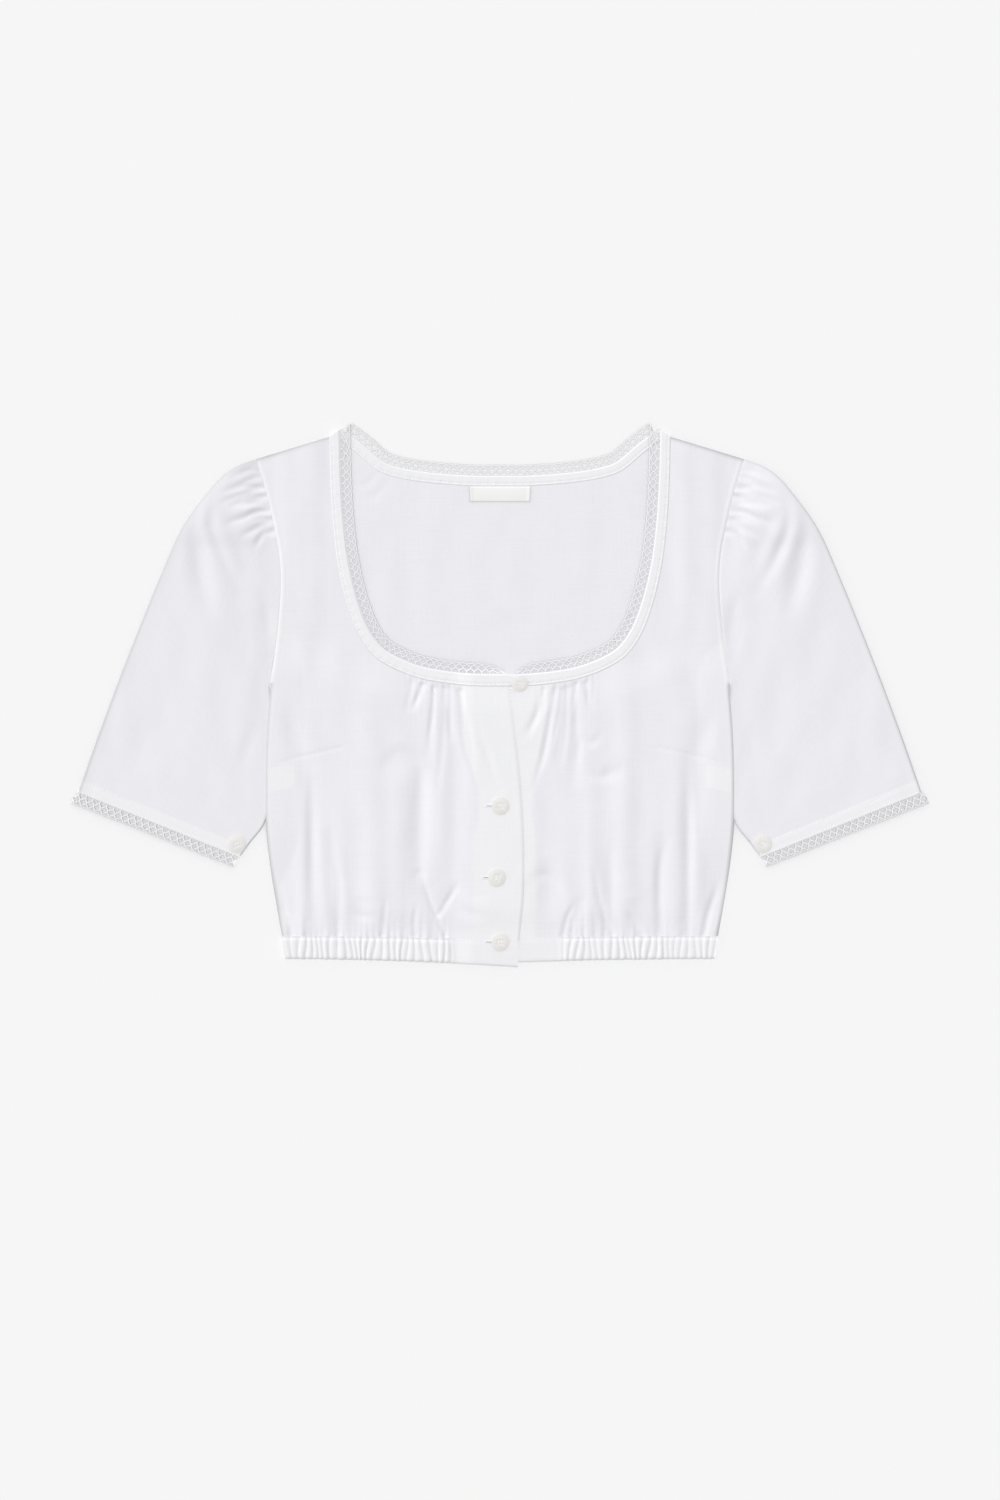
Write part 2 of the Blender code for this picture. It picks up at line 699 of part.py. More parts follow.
class Tube:
    """A flattened sleeve: its map, and the rounded section through it at any row."""

    FOLD = 2.7               # thickness of the folded edges
    TOP = spacing([(0.34, 15), (1.0, 9)])
    BOTTOM = spacing([(1.0, 6)])
    RING = [
        ("fold", 0.0),
        *[("top", w) for w in TOP],
        ("fold", 1.0),
        *[("bottom", 1.0 - w) for w in BOTTOM],
        ("fold", 0.0),
    ]

    def ground(self, w, s):
        """Place on the surface: w from the upper fold to the underarm, s from armhole to hem."""
        raise NotImplementedError

    def top(self, place):
        """Rise of the upper layer over the lower one."""
        return 0.0

    def section(self, step, s, depth):
        """A point round the section, depth deep in the wall."""
        kind, w = self.RING[step]
        span = math.dist(self.ground(0.0, s), self.ground(1.0, s))
        if kind == "fold":
            share = depth / span
            place = self.ground(between(w, share, 1 - share), s)
            return (place.x, place.y, self.FOLD / 2)
        inset = (self.FOLD / 2 + 0.2) / span
        place = self.ground(between(w, inset, 1 - inset), s)
        if kind == "bottom":
            return (place.x, place.y, depth)
        return (place.x, place.y, self.FOLD + self.top(place) - depth)


class Sleeve(Tube):
    """The sleeve from the armhole seam to its folded hem."""

    def __init__(self):
        self.map = patch(OUTER_LINE.at, INNER_LINE.at,
                         lambda share: ARMHOLE_LINE.aside(1 - share, ARM_GAP), self.hem)

    @staticmethod
    def hem(share):
        """The hem fold from the upper fold to the underarm."""
        one, two = SLEEVE_OUTER[-1], SLEEVE_INNER[-1]
        return Point(between(share, one.x, two.x), between(share, one.y, two.y))

    def ground(self, w, s):
        return self.map(s, w)

    def top(self, place):
        return puff(place.x, place.y)


class HemLace(Tube):
    """The lace edging below a sleeve's hem, flattened with it."""

    def ground(self, w, s):
        one, two = SLEEVE_OUTER[-1], SLEEVE_INNER[-1]
        span = math.dist(one, two)
        way = Point((two.x - one.x) / span, (two.y - one.y) / span)
        out = GAP + s * between(w, SLEEVE_LACE_OUTER, SLEEVE_LACE_INNER)
        splay = s * between(w, *SLEEVE_LACE_SPLAY)
        x = between(w, one.x, two.x) + way.y * out + way.x * splay
        y = between(w, one.y, two.y) - way.x * out + way.y * splay
        return Point(x, y)


def tube_piece(room, name, finish, tube, rows, turn, wall):
    """Loft a flattened tube between its armhole end and its hem end."""
    columns = len(tube.RING) - 1

    def outside(column, row):
        return tube.section(column, rows[row], 0.0)

    def inside(column, row):
        return tube.section(column, rows[row], wall)

    return room.sheet(name, finish, columns, len(rows) - 1, outside, inside, turn=turn)


def sleeves(room):
    """Both sleeves with their lace."""
    rows = spacing([(0.26, 7), (1.0, 8)])
    for side, turn in (("right", 1), ("left", -1)):
        tube_piece(room, "sleeve_" + side, "cotton", Sleeve(), rows, turn, CLOTH)
        tube_piece(room, "sleeve_lace_" + side, "lace", HemLace(), [0.0, 1.0], turn, LACE)


def ridge(x):
    """Height of the elastic's gathers, none on the placket and uneven elsewhere."""
    flat = smooth((abs(x + 8.0) - 24.0) / 10.0) if x < 0 else smooth((x - 42.0) / 10.0)
    phase = 2 * math.pi * x / RIDGE_PITCH + 1.4 * math.sin(x / 17.0)
    return RIDGE_HEIGHT * flat * (0.5 + 0.5 * math.cos(phase)) * (0.85 + 0.15 * math.sin(x * 0.37))


def casing(room, name, start, stop, turn, upper):
    """One front stretch of the elastic casing, ridged on its outer face."""
    columns = round((stop - start) / (RIDGE_PITCH / 3))

    def spot(column, row):
        x = between(column / columns, start, stop)
        side = smooth((CASING_CORNER - x - CASING_HALF_WIDTH) / CASING_CORNER)
        low = HEM_Y - hem_drop(x, upper)
        high = CASING_TOP_Y - 0.6 * hem_drop(x, upper)
        y = between(row / 2, low, high)
        inward = (CASING_HALF_WIDTH - HEM_HALF_WIDTH) * (1 - row / 2)
        return Point(x + inward * side, y)

    def level(x):
        plain = 1 - smooth((abs(x) - 30.0) / 14.0)
        return between(plain, CASING_FRONT, CASING_PLAIN)

    def under(column, row):
        place = spot(column, row)
        step = lap(place.x, CASING_PLAIN) if upper else 0.0
        return (place.x, place.y, CASING_UNDER + step)

    def over(column, row):
        x, y, z = under(column, row)
        crown = CASING_CROWN if row == 1 else 0.0
        return (x, y, z + level(x * turn) + crown * smooth((abs(x) - 30) / 14) + ridge(x * turn))

    return room.sheet(name, "doubled_cotton", columns, 2, over, under, turn=turn)


def back_casing(room):
    """The back stretch of the casing, flat on its face."""
    columns = 24

    def over(column, row):
        x = between(column / columns, -CASING_HALF_WIDTH, CASING_HALF_WIDTH)
        y = between(row, HEM_Y, CASING_TOP_Y)
        x *= between(row, HEM_HALF_WIDTH / CASING_HALF_WIDTH, 1.0)
        return (x, y, CASING_BACK)

    def under(column, row):
        x, y, _ = over(column, row)
        return (x, y, 0.0)

    return room.sheet("hem_casing_back", "doubled_cotton", columns, 1, over, under)


def front_top(x, y):
    """Top of what lies uppermost at a place near the centre front."""
    casing_top = CASING_TOP_Y - 0.6 * hem_drop(x, True)
    if y < casing_top + GAP:
        return CASING_UNDER + CASING_PLAIN + lap(x, CASING_PLAIN) + ridge(x)
    return front_under(x, y, True) + CLOTH


def button_seat(place):
    """Height on which a button rests, over the highest cloth below it."""
    if place.name == "button_neck":
        return UPPER + BAND_RISE * rise(place.x, place.y) + BAND + NECK_BUTTON_LIFT
    if "sleeve" in place.name:
        heights = [puff(-abs(place.x) + a, place.y + b) for a in (-7, 0, 7) for b in (-7, 0, 7)]
        return Tube.FOLD + max(heights) + GAP
    ring = [(radius * math.cos(turn), radius * math.sin(turn))
            for radius in (0.0, 3.5, 7.0) for turn in (0.0, 0.8, 1.6, 2.4, 3.1, 3.9, 4.7, 5.5)]
    return max(front_top(place.x + a, place.y + b) for a, b in ring) + GAP


def button(room, place):
    """A turned button with a rolled rim and a dished face."""
    radius = place.size / 2
    profile = [  # distance from the axis and height, down the outer side
        (0.0, 1.7),
        (0.52 * radius, 1.7),
        (0.68 * radius, BUTTON_HEIGHT - 0.1),
        (0.84 * radius, BUTTON_HEIGHT),
        (radius, 1.6),
        (0.97 * radius, 0.8),
        (0.72 * radius, 0.0),
        (0.0, 0.0),
    ]
    mesh = bpy.data.meshes.new(place.name)
    points = [(r * MM, 0.0, h * MM) for r, h in profile]
    mesh.from_pydata(points, [(i, i + 1) for i in range(len(points) - 1)], [])
    piece = room.add(place.name, mesh, "button")
    piece.location = room.place((place.x, place.y, button_seat(place)), 1)
    turn = piece.modifiers.new("turned", "SCREW")
    turn.steps = 18
    turn.render_steps = 18
    turn.use_merge_vertices = True
    turn.merge_threshold = 0.0001
    return piece


def thread_loop(room):
    """The loop on the end of the right band that holds the neck button."""
    centre = BUTTONS[0]
    level = UPPER + BAND_RISE * rise(centre.x, centre.y) + BAND + GAP + THREAD
    route = [(7.2, 9.2), (12.0, 9.3), (14.6, 9.0)]
    route += [(14.9 + 1.7 * math.cos(a), 7.4 + 1.6 * math.sin(a)) for a in (1.2, 0.6, 0.0, -0.6, -1.2)]
    route += [(14.6, 5.8), (12.0, 5.5), (7.2, 5.6)]
    curve = bpy.data.curves.new("thread_loop", "CURVE")
    curve.dimensions = "3D"
    curve.bevel_depth = THREAD * MM
    curve.bevel_resolution = 1
    curve.use_fill_caps = True
    spline = curve.splines.new("POLY")
    spline.points.add(len(route) - 1)
    for point, (x, y) in zip(spline.points, route):
        point.co = (*room.place((x, y, level), 1), 1.0)
    curve.materials.append(make_material("thread"))
    loop = bpy.data.objects.new("thread_loop", curve)
    room.pieces.objects.link(loop)
    return loop


def label(room):
    """The woven label below the back neck band, blank."""
    bpy.ops.mesh.primitive_cube_add(size=1.0)
    piece = bpy.context.active_object
    for holder in list(piece.users_collection):
        holder.objects.unlink(piece)
    room.pieces.objects.link(piece)
    piece.name = "label"
    piece.data.name = "label"
    size = (LABEL_WIDTH * MM, LABEL_HEIGHT * MM, LABEL_THICKNESS * MM)
    for vert in piece.data.vertices:
        vert.co = [vert.co[axis] * size[axis] for axis in range(3)]
    piece.location = room.place((0.0, LABEL_Y, UPPER + LABEL_THICKNESS / 2), 1)
    piece.data.materials.append(make_material("label"))
    return piece


def main():
    """Build the blouse piece by piece."""
    room = Workroom()
    back_panel(room)
    front_panel(room, "front_right", 1)
    front_panel(room, "front_left", -1)
    sleeves(room)
    neck_edging(room)
    back_neck_edging(room)
    back_casing(room)
    casing(room, "hem_casing_right", -CASING_HALF_WIDTH, HEM_CORNER[0], 1, True)
    casing(room, "hem_casing_left", -CASING_HALF_WIDTH, UNDERLAP, -1, False)
    for place in BUTTONS:
        button(room, place)
    thread_loop(room)
    label(room)
    for piece in room.pieces.objects:
        if piece.type == "MESH":
            piece.data.shade_smooth()
            piece.data.set_sharp_from_angle(angle=math.radians(50))


main()
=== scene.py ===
"""Looks of a dirndl blouse laid flat on its back, front up, hem towards -Y.

Lengths are in millimetres until they are placed. The wearer's right side lies at -X. Outlines are
given for the -X half and turned over for the +X half.
"""
import logging
import math
from dataclasses import dataclass, field
from enum import Enum
from typing import Any, Callable, NamedTuple, Optional, Sequence

import bmesh
import bpy
import numpy as np
from mathutils import Matrix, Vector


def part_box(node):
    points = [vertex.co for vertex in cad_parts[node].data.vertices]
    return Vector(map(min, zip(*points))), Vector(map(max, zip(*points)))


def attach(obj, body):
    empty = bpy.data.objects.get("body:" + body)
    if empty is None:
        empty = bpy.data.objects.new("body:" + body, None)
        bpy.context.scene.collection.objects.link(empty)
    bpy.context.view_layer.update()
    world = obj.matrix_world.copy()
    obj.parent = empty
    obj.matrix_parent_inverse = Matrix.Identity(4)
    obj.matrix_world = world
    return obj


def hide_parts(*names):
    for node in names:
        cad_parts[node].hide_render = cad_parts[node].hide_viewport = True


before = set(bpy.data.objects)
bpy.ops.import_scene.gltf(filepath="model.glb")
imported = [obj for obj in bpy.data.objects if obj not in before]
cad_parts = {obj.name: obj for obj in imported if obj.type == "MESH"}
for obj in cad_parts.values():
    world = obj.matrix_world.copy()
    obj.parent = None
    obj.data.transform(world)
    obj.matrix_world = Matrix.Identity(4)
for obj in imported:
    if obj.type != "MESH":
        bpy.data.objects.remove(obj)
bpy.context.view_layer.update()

LOG = logging.getLogger("dirndl_blouse")
Array = np.ndarray
Edge = Callable[[Array], Array]
Colour = tuple[float, float, float]

MM = 0.001
CENTRE_Y = -1.15             # the middle of the outline, which lies at the origin
BODY = "root"

# Outline of the garment, as in the frame
NECK = ((-128.0, 193.0), (-127.2, 159.3), (-125.4, 128.7), (-121.8, 98.0), (-115.7, 70.5),
        (-107.6, 47.6), (-97.4, 31.5), (-85.5, 22.0), (-66.2, 13.4), (-45.5, 8.6), (-18.0, 5.8),
        (14.0, 5.8))
BACK_NECK = ((-127.0, 193.4), (-117.0, 187.8), (-106.5, 179.8), (-91.5, 167.5), (-76.0, 162.1),
             (-54.8, 158.6), (-24.3, 156.2), (0.0, 156.0))
SIDE = ((-163.6, -181.5), (-166.5, -165.0), (-172.2, -131.0), (-175.5, -101.0), (-176.3, -73.4),
        (-175.5, -32.7), (-172.4, 6.2))
ARMHOLE = ((-172.4, 6.2), (-167.3, 44.5), (-164.4, 80.0), (-165.5, 104.3), (-169.5, 125.6),
           (-175.5, 151.5), (-183.0, 176.3))
BACK_SIDE = ((-163.6, -181.5), (-166.5, -165.0), (-172.2, -131.0), (-174.0, -108.0),
             (-170.5, -80.0), (-168.0, -50.0), (-168.6, -20.0), (-171.3, 6.2))
SLEEVE_OUTER = ((-183.6, 176.5), (-196.9, 171.5), (-207.8, 164.4), (-218.3, 153.2),
                (-238.2, 125.6), (-253.5, 92.3), (-279.5, 27.8), (-300.8, -29.3), (-316.2, -73.5))
SLEEVE_INNER = ((-173.0, 5.6), (-170.4, -20.0), (-169.8, -50.0), (-172.4, -80.0), (-177.2, -98.0),
                (-186.0, -110.0), (-195.0, -122.3))
DART = ((-177.0, -55.5), (-156.8, -48.8), (-118.5, -39.8))


class Fold(NamedTuple):
    """A soft fold: end points, sideways bow, half width, height and the strength of its ends."""

    x0: float
    y0: float
    x1: float
    y1: float
    bow: float
    width: float
    height: float
    start: float
    end: float


RIDGES = (
    Fold(-97, -2, -97, -184, -3, 11, 1.3, 0.4, 1.0),
    Fold(-43, -12, -44, -150, 0, 7, 0.9, 0.5, 0.2),
    Fold(-150, -60, -149, -184, 0, 6, 0.8, 0.2, 1.0),
    Fold(-76, -70, -77, -184, 0, 8, 1.0, 0.4, 1.0),
    Fold(96, -2, 97, -184, 2, 9, 1.3, 0.4, 1.0),
    Fold(68, -70, 69, -184, 0, 7, 1.2, 0.3, 1.0),
    Fold(131, -60, 131, -184, 0, 6, 0.8, 0.2, 1.0),
    Fold(152, -80, 151, -184, 0, 6, 0.7, 0.2, 1.0),
    Fold(-16, -150, -12, -178, 0, 12, 0.6, 0.2, 0.6),
)
TROUGHS = (
    Fold(-59, -50, -61, -138, 2, 6, 1.3, 0.1, 0.3),
    Fold(-61, -136, -43, -182, 0, 4.5, 0.8, 0.2, 0.8),
    Fold(-92, -57, -60, -60, -8, 9, 0.5, 0.1, 0.4),
    Fold(-142.5, -50, -138, -182, 0, 4.5, 1.5, 0.2, 1.0),
    Fold(-127, -95, -121.5, -182, 2, 5, 1.3, 0.1, 1.0),
    Fold(-168, -130, -157, -180, 0, 4, 1.2, 0.2, 0.9),
    Fold(-46, -164, -29, -139, 0, 5, 0.5, 0.6, 0.1),
    Fold(-104, -150, -104, -182, 0, 8, 0.9, 0.1, 0.6),
    Fold(57, -22, 56, -74, 0, 5, 0.8, 0.5, 0.1),
    Fold(37, -120, 38, -180, 0, 8, 1.2, 0.1, 0.6),
    Fold(53, -182, 61, -150, 0, 4.5, 0.8, 0.8, 0.1),
    Fold(121, -100, 120, -182, 0, 5, 1.2, 0.1, 1.0),
    Fold(141, -48, 141, -182, 0, 4.5, 1.4, 0.2, 1.0),
    Fold(166, -130, 154, -180, 0, 4, 1.2, 0.2, 0.9),
    Fold(98, -152, 104, -182, 0, 8, 0.9, 0.1, 0.6),
    Fold(83, -105, 84, -182, 0, 4.5, 0.9, 0.1, 0.8),
    Fold(95, -55, 75, -56, -4, 7, 0.6, 0.2, 0.2),
)
NECK_GATHERS = (
    Fold(-66, 9, -70, -14, 0, 2.2, 0.7, 1.0, 0.0),
    Fold(-57, 7, -66, -14, 0, 2.2, 0.9, 1.0, 0.0),
    Fold(-48.5, 5, -54, -50, 0, 2.4, 1.0, 1.0, 0.0),
    Fold(-39.5, 4, -37, -38, 0, 2.4, 0.9, 1.0, 0.0),
    Fold(-29.5, 3, -19, -56, 0, 2.4, 1.0, 1.0, 0.0),
    Fold(33, 3, 21, -34, 0, 2.4, 0.9, 1.0, 0.0),
    Fold(41.5, 4, 31, -56, 0, 2.4, 1.0, 1.0, 0.0),
    Fold(49.5, 5, 42, -58, 0, 2.4, 0.9, 1.0, 0.0),
    Fold(57, 7, 57, -36, 0, 2.4, 0.8, 1.0, 0.0),
    Fold(65, 9, 69, -14, 0, 2.2, 0.7, 1.0, 0.0),
)
CAP_GATHERS = (
    Fold(-182, 172, -203, 161, 0, 2.4, 1.0, 0.9, 0.1),
    Fold(-180, 164, -209, 150, 0, 2.4, 1.2, 1.0, 0.1),
    Fold(-177.5, 155.5, -212, 142, 0, 2.4, 1.2, 1.0, 0.1),
    Fold(-175.5, 147, -205, 140, 0, 2.4, 1.3, 1.0, 0.1),
    Fold(-173.5, 138.5, -207, 127, 0, 2.4, 1.2, 1.0, 0.1),
    Fold(-171.5, 130, -196, 117, 0, 2.4, 1.1, 1.0, 0.1),
    Fold(-169.5, 121.5, -190, 103, 0, 2.4, 0.9, 1.0, 0.1),
)
SLEEVE_FOLDS = (
    Fold(-215, 145, -193, 78, -8, 7, 0.9, 0.2, 0.2),
    Fold(-231, 134, -216, 54, -3, 6, 0.7, 0.3, 0.1),
    Fold(-185, 66, -171, 30, 0, 7, 0.7, 0.2, 0.6),
    Fold(-240, 40, -262, -60, 0, 14, 0.5, 0.1, 0.1),
)


class Crease(NamedTuple):
    """A crease along a line of places: half width, depth and the strength of its ends."""

    path: tuple[tuple[float, float], ...]
    width: float
    depth: float
    start: float = 1.0
    end: float = 0.0


FRONT_CREASES = (
    Crease(((-58.7, 6.8), (-62.0, -2.0), (-66.2, -13.0)), 1.3, 0.75),
    Crease(((-50.0, 4.3), (-51.0, -16.0), (-53.8, -40.0)), 1.4, 0.65),
    Crease(((-42.8, 4.0), (-43.0, -34.0), (-48.5, -90.0)), 2.2, 0.55),
    Crease(((-36.0, 3.0), (-37.0, -20.0), (-36.0, -46.0)), 1.5, 0.35),
    Crease(((-30.0, 1.7), (-26.2, -40.0), (-14.0, -74.5)), 1.8, 0.70, 1.0, 0.2),
    Crease(((-18.0, -22.0), (-8.0, -50.0), (-1.0, -72.0)), 2.6, 0.45, 0.0, 0.5),
    Crease(((37.0, -1.0), (27.0, -18.0), (14.0, -37.0)), 2.4, 0.35, 0.8, 0.1),
    Crease(((41.2, 2.0), (34.0, -40.0), (21.0, -82.0)), 2.0, 0.60, 0.8, 0.1),
    Crease(((46.0, 3.0), (43.0, -20.0), (36.5, -50.0)), 1.4, 0.60),
    Crease(((51.0, 4.0), (49.0, -30.0), (43.5, -68.0)), 1.6, 0.60),
    Crease(((57.0, 8.0), (55.5, -2.0), (54.5, -14.0)), 1.2, 0.55),
    Crease(((63.8, 8.0), (65.0, 0.0), (67.0, -11.0)), 1.2, 0.60),
    Crease(((58.5, -22.0), (58.8, -40.0), (57.0, -62.0)), 2.4, 0.45, 0.2, 0.0),
    Crease(((60.0, -29.0), (69.0, -36.0), (77.0, -28.0)), 3.2, 0.45, 0.3, 0.3),
    Crease(((-60.0, -132.0), (-52.0, -156.0), (-41.0, -181.5)), 1.7, 0.85, 0.5, 1.0),
    Crease(((-45.5, -165.0), (-38.0, -153.0), (-30.0, -139.0)), 1.8, 0.60, 1.0, 0.1),
    Crease(((-40.0, -150.0), (-26.0, -163.0), (-5.0, -168.0)), 4.5, 0.75, 0.3, 0.3),
    Crease(((18.0, -150.0), (30.0, -136.0), (42.0, -142.0), (52.0, -170.0)), 4.2, 0.70, 0.2, 0.3),
    Crease(((47.0, -181.0), (51.0, -166.0), (57.0, -153.0)), 1.8, 0.65, 1.0, 0.0),
    Crease(((84.0, -181.0), (76.0, -160.0), (68.0, -120.0)), 2.2, 0.60, 1.0, 0.1),
    Crease(((106.0, -181.0), (99.0, -169.0), (92.0, -160.0)), 2.6, 0.75, 1.0, 0.2),
    Crease(((120.5, -181.0), (119.5, -130.0), (128.0, -103.0)), 2.6, 0.75, 1.0, 0.1),
    Crease(((141.0, -181.0), (141.5, -120.0), (140.5, -52.0)), 2.8, 0.55, 0.9, 0.2),
    Crease(((152.0, -181.0), (158.0, -160.0), (167.0, -134.0)), 2.2, 0.80, 1.0, 0.2),
    Crease(((-142.5, -181.0), (-142.0, -110.0), (-142.5, -56.0)), 2.8, 0.55, 0.9, 0.2),
    Crease(((-121.5, -181.0), (-121.0, -140.0), (-128.0, -104.0)), 2.8, 0.75, 1.0, 0.1),
    Crease(((-157.0, -181.0), (-163.0, -158.0), (-172.0, -126.0)), 2.2, 0.80, 1.0, 0.2),
    Crease(((-114.0, -161.0), (-102.0, -167.0), (-91.0, -168.0)), 3.0, 0.55, 0.3, 0.2),
    Crease(((-87.5, -181.0), (-86.5, -166.0), (-86.0, -148.0)), 1.8, 0.65, 1.0, 0.0),
    Crease(((-65.0, -181.0), (-64.5, -170.0), (-62.0, -154.0)), 1.6, 0.55, 1.0, 0.0),
    Crease(((-93.0, -60.0), (-74.0, -43.0), (-60.5, -58.0), (-57.5, -95.0), (-60.0, -134.0)), 4.4,
           0.75, 0.2, 0.9),
    Crease(((66.0, -56.0), (76.0, -62.0), (90.0, -55.0)), 4.0, 0.50, 0.2, 0.2),
    Crease(((-161.0, 0.0), (-156.0, -26.0), (-146.0, -54.0)), 7.0, 0.70, 0.1, 0.4),
    Crease(((161.0, 0.0), (155.0, -26.0), (147.0, -52.0)), 7.0, 0.70, 0.1, 0.4),
    Crease(((-133.0, 60.0), (-140.0, 20.0), (-138.0, -20.0)), 8.0, 0.40, 0.1, 0.1),
    Crease(((136.0, 66.0), (141.0, 20.0), (136.0, -24.0)), 8.0, 0.40, 0.1, 0.1),
)
SLEEVE_CREASES = (
    Crease(((-180.2, 168.0), (-188.0, 167.4), (-197.0, 164.6)), 1.3, 0.55),
    Crease(((-176.6, 154.6), (-190.0, 155.4), (-205.0, 150.5)), 1.4, 0.85),
    Crease(((-176.6, 148.4), (-190.0, 147.0), (-206.0, 139.0)), 1.3, 0.75),
    Crease(((-174.0, 141.0), (-186.0, 142.6), (-199.0, 139.0)), 1.2, 0.50),
    Crease(((-173.0, 137.4), (-184.0, 136.4), (-194.0, 130.0)), 1.4, 0.80),
    Crease(((-170.6, 130.6), (-182.0, 131.0), (-193.0, 126.6)), 1.2, 0.65),
    Crease(((-170.2, 121.8), (-178.0, 119.6), (-186.0, 106.0)), 1.8, 0.85),
    Crease(((-231.0, 134.0), (-226.0, 92.0), (-217.0, 54.0)), 6.0, 1.45, 0.6, 0.1),
    Crease(((-214.0, 155.0), (-216.0, 126.0), (-205.0, 98.0), (-192.0, 76.0)), 4.2, 1.50, 0.3, 0.3),
    Crease(((-184.0, 84.0), (-175.0, 60.0), (-173.0, 28.0)), 5.0, 0.80, 0.2, 0.5),
    Crease(((-196.0, -62.0), (-189.0, -40.0), (-184.0, -14.0)), 5.0, 0.50, 0.3, 0.1),
    Crease(((-262.0, -4.0), (-270.0, -40.0), (-276.0, -66.0)), 9.0, 0.45, 0.1, 0.3),
    Crease(((-232.0, 20.0), (-236.0, -20.0), (-232.0, -70.0)), 9.0, 0.40, 0.1, 0.2),
)
BACK_CREASES = (
    Crease(((-92.0, 166.0), (-100.0, 158.0), (-112.0, 156.0)), 2.2, 0.30, 0.7, 0.3),
    Crease(((-84.0, 160.0), (-92.0, 150.0), (-104.0, 146.0)), 2.6, 0.25, 0.7, 0.1),
    Crease(((-72.0, 140.0), (-70.0, 90.0), (-73.0, 44.0)), 8.0, 0.35, 0.2, 0.2),
    Crease(((76.0, 150.0), (74.0, 100.0), (78.0, 60.0)), 8.0, 0.35, 0.2, 0.2),
    Crease(((10.0, 142.0), (4.0, 124.0), (8.0, 100.0)), 7.0, 0.25, 0.6, 0.1),
    Crease(((88.0, 162.0), (98.0, 150.0), (110.0, 146.0)), 3.0, 0.25, 0.7, 0.1),
    Crease(((24.0, 40.0), (10.0, 52.0), (-12.0, 48.0)), 8.0, 0.30, 0.2, 0.2),
)


class Side(Enum):
    """The two halves of the garment; the value turns an x of the -X half."""

    RIGHT = 1
    LEFT = -1

    @property
    def word(self) -> str:
        """The half's name as the frame's nodes have it."""
        return self.name.lower()


class Slot(Enum):
    """Material slots of the record."""

    COTTON = "cotton"
    DOUBLED = "doubled_cotton"
    LACE = "lace"
    BUTTON = "button"
    THREAD = "thread"
    LABEL = "label"


@dataclass(frozen=True)
class Layers:
    """Thicknesses and gaps of the layers of cloth."""

    cloth: float = 1.1
    gap: float = 0.3
    seam: float = 0.06
    band: float = 1.8
    shell: float = 0.45
    sleeve: float = 2.7
    upper: float = 1.4


LAYERS = Layers()


def smooth(value: Array) -> Array:
    """Ease from 0 to 1 as the value goes from 0 to 1."""
    value = np.clip(value, 0.0, 1.0)
    return value * value * (3.0 - 2.0 * value)


def rounded(value: Array) -> Array:
    """A quarter circle's height as the value goes from 0 to 1."""
    return np.sqrt(np.clip(1.0 - (1.0 - np.clip(value, 0.0, 1.0)) ** 2, 0.0, 1.0))


def between(share: Array, low: Array, high: Array) -> Array:
    """The value that lies the given share of the way from low to high."""
    return low + (high - low) * share


def placed(x: Array, y: Array, z: Array, turn: int = 1) -> Array:
    """Points in metres, with the middle of the garment at the origin."""
    x, y, z = np.broadcast_arrays(x, y, z)
    return np.stack([x * turn, y - CENTRE_Y, z], axis=-1) * MM


class Line:
    """A smooth line through a few points, read by the share of its length."""

    STEPS = 12

    def __init__(self, points: Sequence[tuple[float, float]]) -> None:
        """Args: points: where the line passes, in order."""
        raw = np.array(points, float)
        chain = np.vstack([2 * raw[0] - raw[1], raw, 2 * raw[-1] - raw[-2]])
        t = (np.arange(1, self.STEPS + 1) / self.STEPS)[:, None]
        spots = [raw[:1]]
        for a, b, c, d in zip(chain, chain[1:], chain[2:], chain[3:]):
            curve = (-t + 2 * t ** 2 - t ** 3) * a + (2 - 5 * t ** 2 + 3 * t ** 3) * b
            curve = curve + (t + 4 * t ** 2 - 3 * t ** 3) * c + (t ** 3 - t ** 2) * d
            spots.append(curve / 2)
        self.spots = np.vstack(spots)
        steps = np.hypot(*np.diff(self.spots, axis=0).T)
        self.reach = np.concatenate([[0.0], np.cumsum(steps)])
        self.length = float(self.reach[-1])

    def at(self, share: Array) -> Array:
        """The points at shares of the length."""
        goal = np.clip(share, 0.0, 1.0) * self.length
        return np.stack([np.interp(goal, self.reach, self.spots[:, axis]) for axis in (0, 1)], -1)

    def direction(self, share: Array) -> Array:
        """The unit directions of travel at shares of the length."""
        way = self.at(np.minimum(share + 0.01, 1.0)) - self.at(np.maximum(share - 0.01, 0.0))
        return way / np.linalg.norm(way, axis=-1, keepdims=True)

    def aside(self, share: Array, out: Array, slant: Array = 0.0) -> Array:
        """Points moved out to the left of the line, and slant times as far back along it."""
        share, out, slant = np.broadcast_arrays(share, out, slant)
        way = self.direction(share)
        left = np.stack([-way[..., 1], way[..., 0]], -1)
        return self.at(share) + left * out[..., None] - way * (out * slant)[..., None]

    def share_at_x(self, x: float) -> float:
        """The share of the length at which the line last crosses x, going in +X."""
        index = int(np.nonzero(self.spots[:, 0] <= x)[0][-1])
        one, two = self.spots[index], self.spots[min(index + 1, len(self.spots) - 1)]
        part = (x - one[0]) / max(two[0] - one[0], 1e-9)
        return float(between(part, self.reach[index], self.reach[index + 1]) / self.length)


NECK_LINE = Line(NECK)
BACK_NECK_LINE = Line(BACK_NECK)
SIDE_LINE = Line(SIDE)
BACK_SIDE_LINE = Line(BACK_SIDE)
ARMHOLE_LINE = Line(ARMHOLE)
OUTER_LINE = Line(SLEEVE_OUTER)
INNER_LINE = Line(SLEEVE_INNER)
SHOULDER_LINE = Line((ARMHOLE[-1], NECK[0]))
DART_LINE = Line(DART)
NECK_END_SHARE = NECK_LINE.share_at_x(6.5)
HASH = np.random.default_rng(7).random(512)


